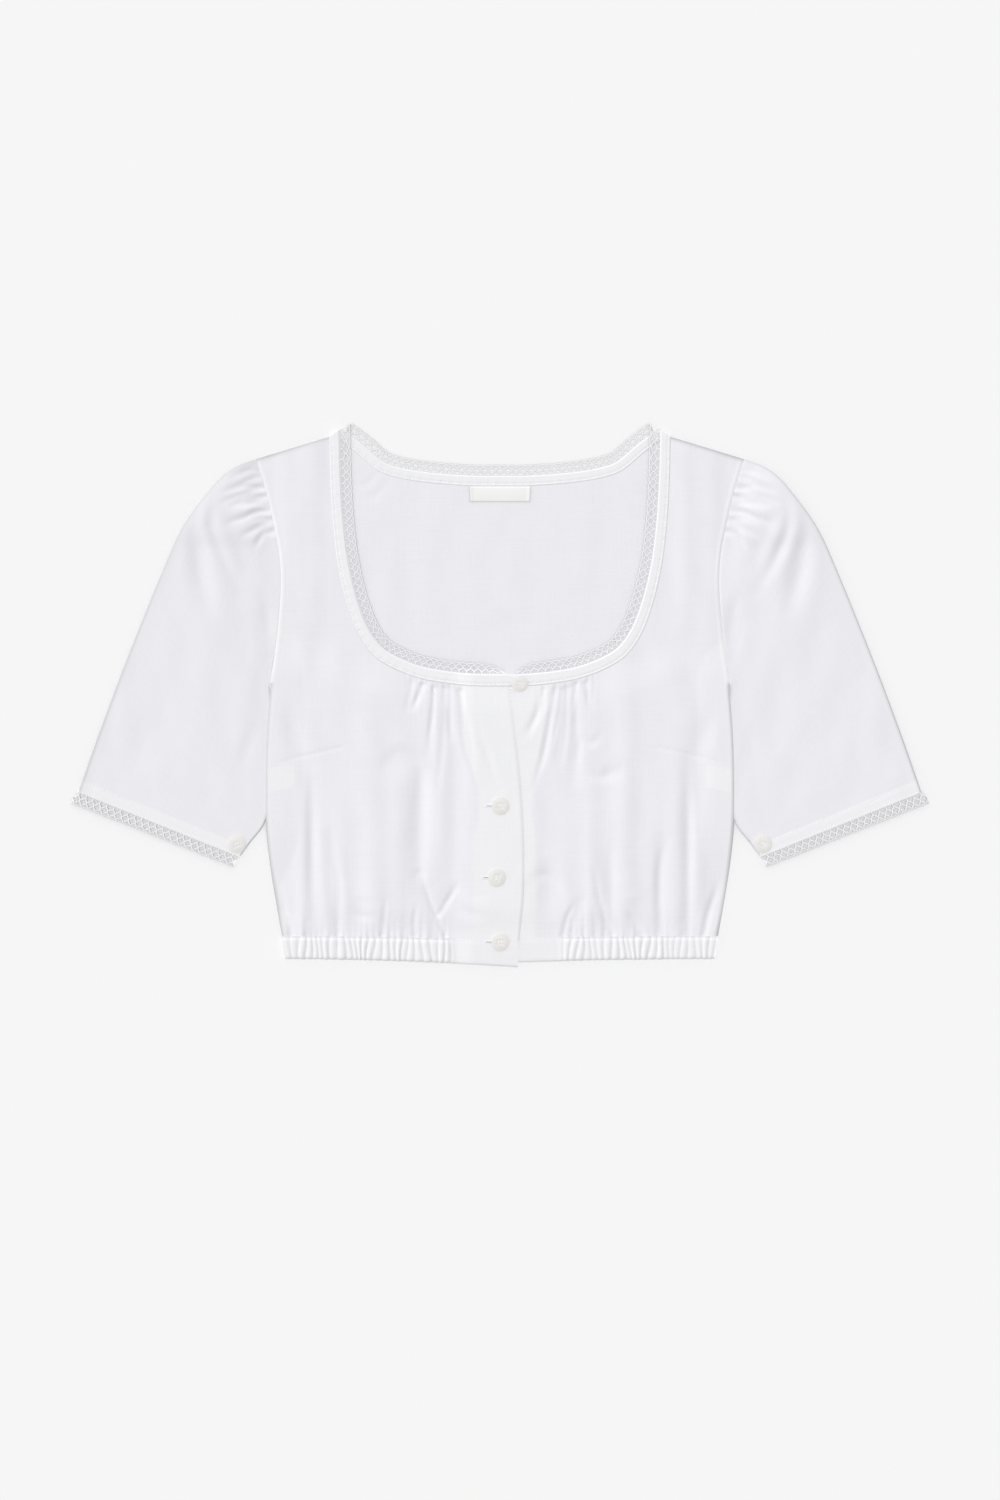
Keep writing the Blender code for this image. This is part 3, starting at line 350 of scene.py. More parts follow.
def clearance(x: Array, y: Array, line: Line, reach: float = 12.0) -> Array:
    """Distance of places from a line, no more than reach."""
    best = np.full(np.shape(x), reach)
    for one, two in zip(line.spots, line.spots[1:]):
        run = two - one
        part = np.clip(((x - one[0]) * run[0] + (y - one[1]) * run[1]) / (run @ run), 0, 1)
        best = np.minimum(best, np.hypot(x - one[0] - part * run[0], y - one[1] - part * run[1]))
    return best


def patch(bottom: Edge, top: Edge, left: Edge, right: Edge) -> Callable[[Array, Array], Array]:
    """Blend four edges, each a function of 0 to 1, into a map of the area between them."""
    ends = [edge(np.array(share)) for edge in (bottom, top) for share in (0.0, 1.0)]

    def at(u: Array, v: Array) -> Array:
        """The places for shares across and up."""
        u, v = np.broadcast_arrays(u, v)
        wide, high = u[..., None], v[..., None]
        ruled = between(high, bottom(u), top(u)) + between(wide, left(v), right(v))
        return ruled - between(high, between(wide, ends[0], ends[1]), between(wide, ends[2], ends[3]))

    return at


def fold_height(folds: Sequence[Fold], x: Array, y: Array, sharp: float = 1.0) -> Array:
    """Sum of soft folds at places.

    Args:
        folds: the folds.
        x: places across.
        y: places along.
        sharp: how much narrower than stated the folds are.

    Returns:
        The height at each place.
    """
    total = np.zeros(np.shape(x))
    for fold in folds:
        run_x, run_y = fold.x1 - fold.x0, fold.y1 - fold.y0
        length = math.hypot(run_x, run_y)
        along = ((x - fold.x0) * run_x + (y - fold.y0) * run_y) / length ** 2
        beyond = np.maximum(0.0, np.maximum(-along, along - 1.0)) * length
        share = np.clip(along, 0.0, 1.0)
        middle = 4 * share * (1 - share)
        aside = ((x - fold.x0) * run_y - (y - fold.y0) * run_x) / length - fold.bow * middle
        strength = np.maximum(middle, between(share, fold.start, fold.end))
        width = fold.width / sharp
        total += fold.height * strength * np.exp(-(aside ** 2 + beyond ** 2) / width ** 2)
    return total


def crease_depth(creases: Sequence[Crease], x: Array, y: Array) -> Array:
    """Depth of creases at places, with a low welt on both sides of each.

    Args:
        creases: the creases.
        x: places across.
        y: places along.

    Returns:
        The depth at each place.
    """
    total = np.zeros(np.shape(x))
    for crease in creases:
        line = Line(crease.path)
        reach = 4.0 * crease.width
        low, high = line.spots.min(axis=0) - reach, line.spots.max(axis=0) + reach
        near = (x > low[0]) & (x < high[0]) & (y > low[1]) & (y < high[1])
        if not near.any():
            continue
        here = np.stack([x[near], y[near]], -1)
        best = np.full(len(here), 1e9)
        share = np.zeros(len(here))
        for index, (one, two) in enumerate(zip(line.spots, line.spots[1:])):
            run = two - one
            part = np.clip((here - one) @ run / (run @ run), 0.0, 1.0)
            gap = np.linalg.norm(here - one - part[:, None] * run, axis=1)
            better = gap < best
            along = between(part, line.reach[index], line.reach[index + 1]) / line.length
            best, share = np.where(better, gap, best), np.where(better, along, share)
        strength = np.maximum(np.sqrt(np.clip(4 * share * (1 - share), 0, 1)),
                              between(share, crease.start, crease.end))
        strength = strength * between(smooth(share / 0.5), crease.start, 1.0)
        strength = strength * between(smooth((1 - share) / 0.5), crease.end, 1.0)
        trough = np.exp(-(best / crease.width) ** 2)
        welt = 0.16 * np.exp(-((best - 2.0 * crease.width) / crease.width) ** 2)
        total[near] += crease.depth * strength * (trough - welt)
    return total


def waves(x: Array, y: Array, first: int, count: int, size: float) -> Array:
    """Low, uneven undulation of laid cloth, mostly across the grain."""
    total = np.zeros(np.shape(x))
    for index in range(first, first + count):
        long, turn, phase = HASH[3 * index: 3 * index + 3]
        step = 2 * math.pi / between(long, 22.0, 70.0)
        angle = (turn - 0.5) * 1.3
        total += np.sin(step * (x * math.cos(angle) + y * math.sin(angle)) + 6.283 * phase)
    return total * size / math.sqrt(count)


@dataclass(frozen=True)
class Casing:
    """Sizes of the elastic hem casing."""

    hem_y: float = -199.0
    top_y: float = -181.5
    hem_half_width: float = 161.0
    half_width: float = 163.6
    front: float = 1.6
    plain: float = 1.4
    back: float = 2.2
    ridge_pitch: float = 5.0
    ridge_height: float = 1.2
    corner: tuple[float, float] = (13.5, -204.9)
    left_drop: float = 3.3
    underlap: float = 14.0

    def drop(self, x: Array, upper: bool) -> Array:
        """How far the hem sinks towards the overlap; x runs from the side seam inwards."""
        share = np.maximum(0.0, (x + self.hem_half_width) / (self.corner[0] + self.hem_half_width))
        if upper:
            return (self.hem_y - self.corner[1]) * share ** 1.9
        return self.left_drop * share ** 2

    def top(self, x: Array, upper: bool) -> Array:
        """The seam that joins casing and front."""
        return self.top_y - 0.6 * self.drop(x, upper)

    def phase(self, x: Array) -> Array:
        """Where a place lies in its gather; whole turns are crests."""
        return (2 * math.pi * x / self.ridge_pitch + 1.4 * np.sin(x / 17.0)
                + 1.1 * np.sin(x / 5.3 + 1.0))

    def gathered(self, x: Array) -> Array:
        """Share of gathering, none on the placket."""
        return np.where(x < 0, smooth((np.abs(x + 8.0) - 24.0) / 10.0), smooth((x - 42.0) / 10.0))

    def crest(self, x: Array) -> Array:
        """Uneven rounded gathers from 0 in their valleys to about 1."""
        phase = self.phase(x)
        lot = HASH[(np.rint(phase / (2 * math.pi)).astype(int) + 160) % 512]
        return np.sqrt(np.cos(phase / 2) ** 2 + 0.01) * between(lot, 0.45, 1.1)

    def ridge(self, x: Array) -> Array:
        """Height of the gathers on the casing."""
        return self.ridge_height * self.gathered(x) * self.crest(x)


CASING = Casing()


class Drape:
    """How high the cloth lies at a place, all over the garment."""

    LAP_START = -36.0
    LAP_END = -19.0

    @staticmethod
    def seam_x(y: Array) -> Array:
        """Distance of the armhole seam from the centre at a height."""
        share = np.clip((y - ARMHOLE[0][1]) / (ARMHOLE[-1][1] - ARMHOLE[0][1]), 0, 1)
        return -ARMHOLE_LINE.at(share)[..., 0]

    def rise(self, x: Array, y: Array) -> Array:
        """Height of the front's underside over where it would lie flat on the back."""
        edge = np.abs(x)
        side = smooth((171.0 - edge) / 40.0)
        below_neck = smooth((14.0 + 0.0016 * x * x - y) / 30.0)
        strap = smooth((y - 20.0) / 60.0)
        body = between(smooth((-40.0 - y) / 100.0), 1.2, 2.0) * below_neck * (1 - strap)
        height = side * (0.35 + body)
        height = height + 0.9 * strap * smooth((edge - 128) / 14) * smooth((172 - edge) / 14)
        tuck = smooth((edge - 126.0) / 41.0) * smooth((46.0 - y) / 36.0) * smooth((y + 152.0) / 54.0)
        height = np.maximum(height, 1.75 * tuck)
        relief = side * (fold_height(RIDGES, x, y) - fold_height(TROUGHS, x, y))
        relief = relief - fold_height(NECK_GATHERS, x, y) * 0.8
        height = height + relief
        hem = smooth((-160.0 - y) / 20.0)
        return np.clip(between(hem, height, 1.6 + 0.5 * relief), 0.0, 3.6)

    def lap(self, x: Array, layer: float) -> Array:
        """How far the upper front climbs over the under-lap, which is one layer thick."""
        step = (x - self.LAP_START) / (self.LAP_END - self.LAP_START)
        return (layer + LAYERS.gap + 0.1) * smooth(step)

    def pleats(self, x: Array, y: Array, upper: bool) -> Array:
        """Fine puckers where the front is drawn in by the casing and by the neck band."""
        lot = HASH[(np.rint(CASING.phase(x) / (2 * math.pi)).astype(int) + 300) % 512]
        above = np.maximum(0.0, y - CASING.top(x, upper))
        hem = CASING.gathered(x) * (CASING.crest(x) - 0.6) * np.exp(-above / between(lot, 3.0, 10.0))
        wide = 2 * math.pi * x / 9.3 + 1.7 * np.sin(x / 14.0 + 0.8)
        lot = HASH[(np.rint(wide / (2 * math.pi)).astype(int) + 200) % 512]
        tuck = np.abs(np.cos(wide / 2)) ** 0.6 - 0.75
        hem = hem + 1.5 * CASING.gathered(x) * tuck * lot * np.exp(-above / between(lot, 5.0, 16.0))
        seam = 5.8 + 0.0012 * x * x
        zone = smooth((np.abs(np.abs(x) - 49.0) - 27.0) / -8.0)
        phase = 2 * math.pi * x / 4.3 + 1.2 * np.sin(x / 9.0)
        lot = HASH[(np.rint(phase / (2 * math.pi)).astype(int) + 400) % 512]
        fine = (np.abs(np.cos(phase / 2)) - 0.6) * between(lot, 0.4, 1.0)
        neck = zone * fine * np.exp(-np.maximum(0.0, seam - y) / between(lot, 4.0, 22.0))
        return 1.0 * hem + 0.8 * neck

    def front(self, x: Array, y: Array, upper: bool) -> Array:
        """Top of a front panel; x is the true one."""
        under = LAYERS.upper + self.rise(x, y)
        if upper:
            under = under + self.lap(x, LAYERS.cloth)
        edge = np.abs(x)
        inside = smooth((171.0 - edge) / 14.0)
        calm = smooth((edge - 20.0) / 12.0) * smooth((172.0 - edge) / 25.0)
        fine = waves(x, y, 0, 9, 0.26) * calm + self.pleats(x, y, upper) * inside
        fine = fine - crease_depth(FRONT_CREASES, x, y) * inside
        dart = clearance(-edge, y, DART_LINE)
        fine = fine - 0.35 * np.exp(-(dart / 0.8) ** 2) * inside
        return under + LAYERS.cloth + fine

    def puff(self, x: Array, y: Array) -> Array:
        """Rise of the sleeve's upper layer, for the -X sleeve."""
        cap = np.exp(-((x + 208.0) / 30.0) ** 2 - ((y - 138.0) / 42.0) ** 2)
        swell = np.exp(-((x + 222.0) / 45.0) ** 2 - ((y - 75.0) / 60.0) ** 2)
        body = np.exp(-((x + 245.0) / 50.0) ** 2 - ((y + 25.0) / 60.0) ** 2)
        away = smooth((-x - self.seam_x(y) - 1.0) / 16.0)
        height = away * (3.2 * cap + 1.5 * swell + 0.9 * body)
        height = height - fold_height(SLEEVE_FOLDS, x, y) * away
        gathers = 0.75 - fold_height(CAP_GATHERS, x, y)
        height = height + gathers * smooth((y - 108.0) / 14.0) * np.minimum(1.0, 2 * cap)
        return np.clip(height, 0.0, 4.2)


DRAPE = Drape()


class Signal:
    """A socket of a shader graph that takes part in Python sums."""

    def __init__(self, graph: "Graph", socket: bpy.types.NodeSocket) -> None:
        """Args: graph: where the socket lies; socket: an output."""
        self.graph = graph
        self.socket = socket

    def __add__(self, other: "Signal | float") -> "Signal":
        """This plus the other."""
        return self.graph.maths("ADD", self, other)

    def __sub__(self, other: "Signal | float") -> "Signal":
        """This less the other."""
        return self.graph.maths("SUBTRACT", self, other)

    def __rsub__(self, other: float) -> "Signal":
        """The other less this."""
        return self.graph.maths("SUBTRACT", other, self)

    def __mul__(self, other: "Signal | float") -> "Signal":
        """This times the other."""
        return self.graph.maths("MULTIPLY", self, other)

    __radd__ = __add__
    __rmul__ = __mul__


class Graph:
    """One material and the nodes that make its finish."""

    def __init__(self, name: str, **fixed: Any) -> None:
        """Args: name: the material's name; fixed: values set on the shader's own sockets."""
        self.material = bpy.data.materials.new(name)
        self.material.use_nodes = True
        self.tree = self.material.node_tree
        self.shader = self.tree.nodes["Principled BSDF"]
        for socket, value in fixed.items():
            self.shader.inputs[socket.replace("_", " ")].default_value = value

    def node(self, kind: str, settings: dict[str, Any], inputs: dict[Any, Any],
             output: Any = 0) -> Signal:
        """Add a node.

        Args:
            kind: the node's type.
            settings: its own settings.
            inputs: values or links of its sockets.
            output: which output to hand on.

        Returns:
            The output.
        """
        node = self.tree.nodes.new(kind)
        for key, value in settings.items():
            setattr(node, key, value)
        for key, value in inputs.items():
            self.feed(node.inputs[key], value)
        return Signal(self, node.outputs[output])

    def feed(self, socket: bpy.types.NodeSocket, value: Any) -> None:
        """Link a signal to a socket, or set its value."""
        if isinstance(value, Signal):
            self.tree.links.new(value.socket, socket)
        else:
            socket.default_value = value

    def maths(self, operation: str, one: Any, two: Any = 0.0) -> Signal:
        """A sum of two numbers."""
        return self.node("ShaderNodeMath", {"operation": operation}, {0: one, 1: two})

    def noise(self, place: Signal, scale: float, detail: float = 2.0) -> Signal:
        """Soft noise from 0 to 1 at places."""
        return self.node("ShaderNodeTexNoise", {}, {"Vector": place, "Scale": scale, "Detail": detail})

    def stretched(self, place: Signal, scales: Colour) -> Signal:
        """Places scaled by their own factor on each axis."""
        return self.node("ShaderNodeVectorMath", {"operation": "MULTIPLY"}, {0: place, 1: scales})

    def blend(self, share: Signal, low: Colour, high: Colour) -> Signal:
        """A colour between two, by a share."""
        return self.node("ShaderNodeMix", {"data_type": "RGBA"},
                         {0: share, 6: (*low, 1.0), 7: (*high, 1.0)}, 2)

    def shaded(self, colour: Signal, strength: Signal) -> Signal:
        """A colour made lighter or darker."""
        return self.node("ShaderNodeVectorMath", {"operation": "SCALE"},
                         {"Vector": colour, "Scale": strength})

    def finish(self, colour: Signal, relief: Signal, depth: float) -> bpy.types.Material:
        """Link colour and relief to the shader.

        Args:
            colour: the base colour.
            relief: height from 0 to 1.
            depth: what a height of 1 stands for, in millimetres.

        Returns:
            The material.
        """
        self.feed(self.shader.inputs["Base Color"], colour)
        bump = self.node("ShaderNodeBump", {}, {"Strength": 1.0, "Distance": depth * MM,
                                                "Height": relief})
        self.feed(self.shader.inputs["Normal"], bump)
        return self.material


@dataclass(frozen=True)
class Woven:
    """Plain-woven cloth with slubs in both directions."""

    name: str
    single: Colour
    double: Colour
    thread: float = 0.40
    slub: float = 0.040
    relief: float = 0.035
    edge: float = 0.42
    roughness: float = 0.9

    def make(self) -> bpy.types.Material:
        """The finish as a material; the attribute doubled says where cloth lies double."""
        graph = Graph(self.name, Roughness=self.roughness, Specular_IOR_Level=0.25,
                      Sheen_Weight=0.08, Sheen_Roughness=0.5)
        grain = graph.node("ShaderNodeUVMap", {"uv_map": "grain"}, {})
        axes = graph.node("ShaderNodeSeparateXYZ", {}, {0: grain})
        across = axes
        along = Signal(graph, axes.socket.node.outputs[1])
        step = math.pi / (self.thread * MM)
        warp = graph.maths("SINE", across * step)
        weft = graph.maths("SINE", along * step)
        long_slubs = graph.noise(graph.stretched(grain, (900.0, 24.0, 1.0)), 1.0)
        wide_slubs = graph.noise(graph.stretched(grain, (24.0, 900.0, 1.0)), 1.0)
        clouds = graph.noise(grain, 45.0, 3.0)
        slubs = long_slubs + wide_slubs - 1.0
        share = graph.node("ShaderNodeAttribute", {"attribute_name": "doubled"}, {}, "Fac")
        colour = graph.blend(share, self.single, self.double)
        # Painted shade along the outlines, from the shade attribute.
        edge = graph.node("ShaderNodeAttribute", {"attribute_name": "shade"}, {}, "Fac")
        strength = 1.0 + slubs * self.slub + (clouds - 0.5) * 0.035 - edge * self.edge
        relief = warp * weft * 0.5 + slubs * 1.6
        return graph.finish(graph.shaded(colour, strength), relief, self.relief)


@dataclass(frozen=True)
class Spun:
    """Thread, as in lace, stitches and loops; its share attribute is high on the crests, which take the
    thread's colour, and low in hollows and round holes, where shade is painted in.
    """

    name: str
    # colour of the painted shade in hollows and round holes
    valley: Colour
    crest: Colour
    roughness: float = 0.8

    def make(self) -> bpy.types.Material:
        """The finish as a material."""
        graph = Graph(self.name, Roughness=self.roughness, Specular_IOR_Level=0.3)
        place = graph.node("ShaderNodeTexCoord", {}, {}, "Object")
        twist = graph.noise(graph.stretched(place, (2600.0, 1900.0, 900.0)), 1.0, 1.0)
        share = graph.node("ShaderNodeAttribute", {"attribute_name": "doubled"}, {}, "Fac")
        colour = graph.shaded(graph.blend(share, self.valley, self.crest), 0.98 + twist * 0.04)
        return graph.finish(colour, twist, 0.06)


@dataclass(frozen=True)
class Pearl:
    """Pale cast shell-like buttons with faint clouds."""

    name: str
    base: Colour
    cloud: Colour
    roughness: float = 0.28

    def make(self) -> bpy.types.Material:
        """The finish as a material."""
        graph = Graph(self.name, Roughness=self.roughness, Coat_Weight=0.15, Coat_Roughness=0.12)
        place = graph.node("ShaderNodeTexCoord", {}, {}, "Object")
        clouds = graph.noise(place, 240.0, 3.0)
        veins = graph.noise(graph.stretched(place, (900.0, 260.0, 400.0)), 1.0, 2.0)
        # The shade attribute darkens rim and holes as painted shade.
        rim = graph.node("ShaderNodeAttribute", {"attribute_name": "shade"}, {}, "Fac")
        colour = graph.blend(clouds * 0.7 + veins * 0.3, self.base, self.cloud)
        return graph.finish(graph.shaded(colour, 1.0 - rim * 0.5), veins, 0.01)


@dataclass(frozen=True)
class Ribbed:
    """Smooth woven ribbon, for the blank label."""

    name: str
    base: Colour
    roughness: float = 0.5

    def make(self) -> bpy.types.Material:
        """The finish as a material."""
        graph = Graph(self.name, Roughness=self.roughness, Sheen_Weight=0.1)
        grain = graph.node("ShaderNodeUVMap", {"uv_map": "grain"}, {})
        axes = graph.node("ShaderNodeSeparateXYZ", {}, {0: grain})
        ribs = graph.maths("SINE", Signal(graph, axes.socket.node.outputs[1]) * (math.pi / 0.35 / MM))
        streaks = graph.noise(graph.stretched(grain, (60.0, 2200.0, 1.0)), 1.0)
        # The shade attribute darkens the label's edges as painted shade.
        rim = graph.node("ShaderNodeAttribute", {"attribute_name": "shade"}, {}, "Fac")
        colour = graph.blend(streaks, self.base, tuple(part * 0.97 for part in self.base))
        return graph.finish(graph.shaded(colour, 1.0 - rim * 0.4), ribs * 0.5 + streaks, 0.03)


@dataclass(frozen=True)
class Shadowed:
    """Painted shadow: a dark sheet that stands for the shade inside a cut slit."""

    name: str
    base: Colour

    def make(self) -> bpy.types.Material:
        """The finish as a material."""
        graph = Graph(self.name, Roughness=1.0, Specular_IOR_Level=0.0)
        place = graph.node("ShaderNodeTexCoord", {}, {}, "Object")
        shadow_mottle = graph.noise(graph.stretched(place, (3000.0, 3000.0, 3000.0)), 1.0)
        colour = graph.blend(shadow_mottle, self.base, tuple(part * 0.8 for part in self.base))
        return graph.finish(colour, shadow_mottle, 0.05)


class Wardrobe:
    """All finishes, each made once."""

    FINISHES = {
        Slot.COTTON: Woven("cotton", (0.835, 0.832, 0.872), (0.871, 0.871, 0.889)),
        Slot.DOUBLED: Woven("doubled_cotton", (0.856, 0.855, 0.882), (0.874, 0.874, 0.892)),
        # The lace's first colour is painted shade for its hollows and hole rims; the second is its thread.
        Slot.LACE: Spun("lace", (0.20, 0.19, 0.21), (0.91, 0.91, 0.93)),
        Slot.BUTTON: Pearl("button", (0.935, 0.91, 0.88), (0.96, 0.94, 0.915)),
        Slot.THREAD: Spun("thread", (0.80, 0.80, 0.83), (0.90, 0.90, 0.92)),
        Slot.LABEL: Ribbed("label", (0.90, 0.90, 0.885)),
    }

    def __init__(self) -> None:
        """Make every finish."""
        self.made = {slot: finish.make() for slot, finish in self.FINISHES.items()}
        # A dark sheet of painted shadow for the buttonholes' slits.
        self.slit = Shadowed("slit", (0.32, 0.31, 0.31)).make()

    def __getitem__(self, slot: Slot) -> bpy.types.Material:
        """The material of a slot."""
        return self.made[slot]


@dataclass
class Grid:
    """Rows and columns of a cloth's points, in metres, with their places in the flat cloth."""

    points: Array
    flat: Array
    doubled: Array
    keep: Optional[Array] = None
    closed: bool = False
    shade: Optional[Array] = None


class Bench:
    """Makes finished pieces in the garment's collection."""

    def __init__(self) -> None:
        """Make the collection and the finishes."""
        self.wardrobe = Wardrobe()
        self.holder = bpy.data.collections.new("dirndl_blouse_looks")
        bpy.context.scene.collection.children.link(self.holder)

    def add(self, name: str, mesh: bpy.types.Mesh, slot: Slot, nodes: Sequence[str] = ()) -> Any:
        """Put a mesh in the scene as a dressed piece.

        Args:
            name: the piece's name.
            mesh: its mesh, in place.
            slot: the record's slot for its finish.
            nodes: frame nodes that the piece stands for.

        Returns:
            The object.
        """
        mesh.name = name
        mesh.materials.clear()
        mesh.materials.append(self.wardrobe[slot])
        piece = bpy.data.objects.new(name, mesh)
        self.holder.objects.link(piece)
        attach(piece, BODY)
        if nodes:
            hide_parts(*nodes)
        return piece

    @staticmethod
    def apply(piece: Any, modifier: Any) -> None:
        """Make a modifier's result the piece's own mesh."""
        bpy.ops.object.select_all(action="DESELECT")
        piece.select_set(True)
        bpy.context.view_layer.objects.active = piece
        bpy.ops.object.modifier_apply(modifier=modifier.name)

    def thicken(self, piece: Any, thickness: float = LAYERS.shell) -> None:
        """Give a skin its thickness, downwards from what shows."""
        wall = piece.modifiers.new("thickness", "SOLIDIFY")
        wall.thickness = thickness * MM
        wall.offset = -1.0
        self.apply(piece, wall)
        piece.data.shade_smooth()
        piece.data.set_sharp_from_angle(angle=math.radians(60))

    @staticmethod
    def mesh(name: str, grid: Grid, level: float = -1.0) -> bpy.types.Mesh:
        """A mesh of quads from a grid.

        Args:
            name: the mesh's name.
            grid: the points.
            level: height in metres above which faces have to look up.

        Returns:
            The mesh, with its faces looking up.
        """
        rows, columns = grid.points.shape[:2]
        index = np.arange(rows * columns).reshape(rows, columns)
        wide = np.hstack([index, index[:, :1]]) if grid.closed else index
        spot = np.arange(wide.size).reshape(wide.shape)
        quads, spots = (
            np.stack([part[:-1, :-1], part[:-1, 1:], part[1:, 1:], part[1:, :-1]], -1).reshape(-1, 4)
            for part in (wide, spot)
        )
        if grid.keep is not None:
            good = grid.keep.ravel()[quads].all(axis=1)
            quads, spots = quads[good], spots[good]
        points = grid.points.reshape(-1, 3)
        normal = np.cross(points[quads[:, 2]] - points[quads[:, 0]],
                          points[quads[:, 3]] - points[quads[:, 1]])
        high = points[quads].mean(axis=1)[:, 2] > level
        if normal[high, 2].sum() < 0:
            quads, spots = quads[:, ::-1], spots[:, ::-1]
        used, renumbered = np.unique(quads, return_inverse=True)
        mesh = bpy.data.meshes.new(name)
        mesh.from_pydata(points[used].tolist(), [], renumbered.reshape(-1, 4).tolist())
        flat = grid.flat.reshape(-1, 2)[spots.ravel()] * MM
        mesh.uv_layers.new(name="grain").data.foreach_set("uv", flat.astype(np.float32).ravel())
        shade = np.zeros(rows * columns) if grid.shade is None else grid.shade.ravel()
        for title, values in (("doubled", grid.doubled.ravel()), ("shade", shade)):
            layer = mesh.attributes.new(title, "FLOAT", "POINT")
            layer.data.foreach_set("value", values[used].astype(np.float32))
        mesh.shade_smooth()
        return mesh

    @staticmethod
    def close_ends(mesh: bpy.types.Mesh) -> None:
        """Close the open ends of a strip's section."""
        bm = bmesh.new()
        bm.from_mesh(mesh)
        rim = [edge for edge in bm.edges if edge.is_boundary]
        bmesh.ops.holes_fill(bm, edges=rim, sides=0)
        bmesh.ops.recalc_face_normals(bm, faces=bm.faces)
        bm.to_mesh(mesh)
        bm.free()
        mesh.shade_smooth()
        mesh.set_sharp_from_angle(angle=math.radians(60))


@dataclass
class Stitches:
    """Runs of small thread stitches, gathered into one piece."""

    name: str
    width: float = 0.55
    lift: float = 0.10
    points: list[Array] = field(default_factory=list)
    faces: list[Array] = field(default_factory=list)

    RING = 6
    PROFILE = ((-0.5, 0.35), (-0.34, 0.85), (0.0, 1.0), (0.34, 0.85), (0.5, 0.35))

    def run(self, path: Array, pitch: float = 2.9, share: float = 0.78) -> None:
        """Stitches along a path of points in metres."""
        steps = np.linalg.norm(np.diff(path, axis=0), axis=1)
        reach = np.concatenate([[0.0], np.cumsum(steps)])
        count = max(1, round(reach[-1] / (pitch * MM)))
        step = reach[-1] / count
        for index in range(count):
            ends = (index + 0.5) * step + np.array([-0.5, 0.5]) * step * share
            one, two = (np.array([np.interp(end, reach, path[:, axis]) for axis in range(3)])
                        for end in ends)
            self.bar(one, two, self.width)

    def bar(self, one: Array, two: Array, width: float) -> None:
        """One stitch from a point to another, in metres."""
        run = two - one
        length = np.linalg.norm(run)
        way = run / length
        side = np.cross((0.0, 0.0, 1.0), way)
        side = side / max(np.linalg.norm(side), 1e-9)
        up = np.cross(way, side)
        turns = np.arange(self.RING) * 2 * math.pi / self.RING
        middle = (one + two) / 2 + up * self.lift * MM
        rings = [middle + way * length * at
                 + radius * width / 2 * MM * (np.outer(np.cos(turns), side)
                                              + 0.7 * np.outer(np.sin(turns), up))
                 for at, radius in self.PROFILE]
        base = sum(len(part) for part in self.points)
        self.points.append(np.vstack(rings))
        for ring in range(len(rings) - 1):
            for corner in range(self.RING):
                a = base + ring * self.RING + corner
                b = base + ring * self.RING + (corner + 1) % self.RING
                self.faces.append([a, b, b + self.RING, a + self.RING])
        last = base + (len(rings) - 1) * self.RING
        self.faces.append([base + corner for corner in reversed(range(self.RING))])
        self.faces.append([last + corner for corner in range(self.RING)])

    def make(self, bench: Bench) -> Any:
        """The stitches as one piece."""
        mesh = bpy.data.meshes.new(self.name)
        mesh.from_pydata(np.vstack(self.points).tolist(), [], [list(map(int, f)) for f in self.faces])
        share = mesh.attributes.new("doubled", "FLOAT", "POINT")
        share.data.foreach_set("value", np.ones(len(mesh.vertices), np.float32))
        mesh.shade_smooth()
        return bench.add(self.name, mesh, Slot.THREAD)


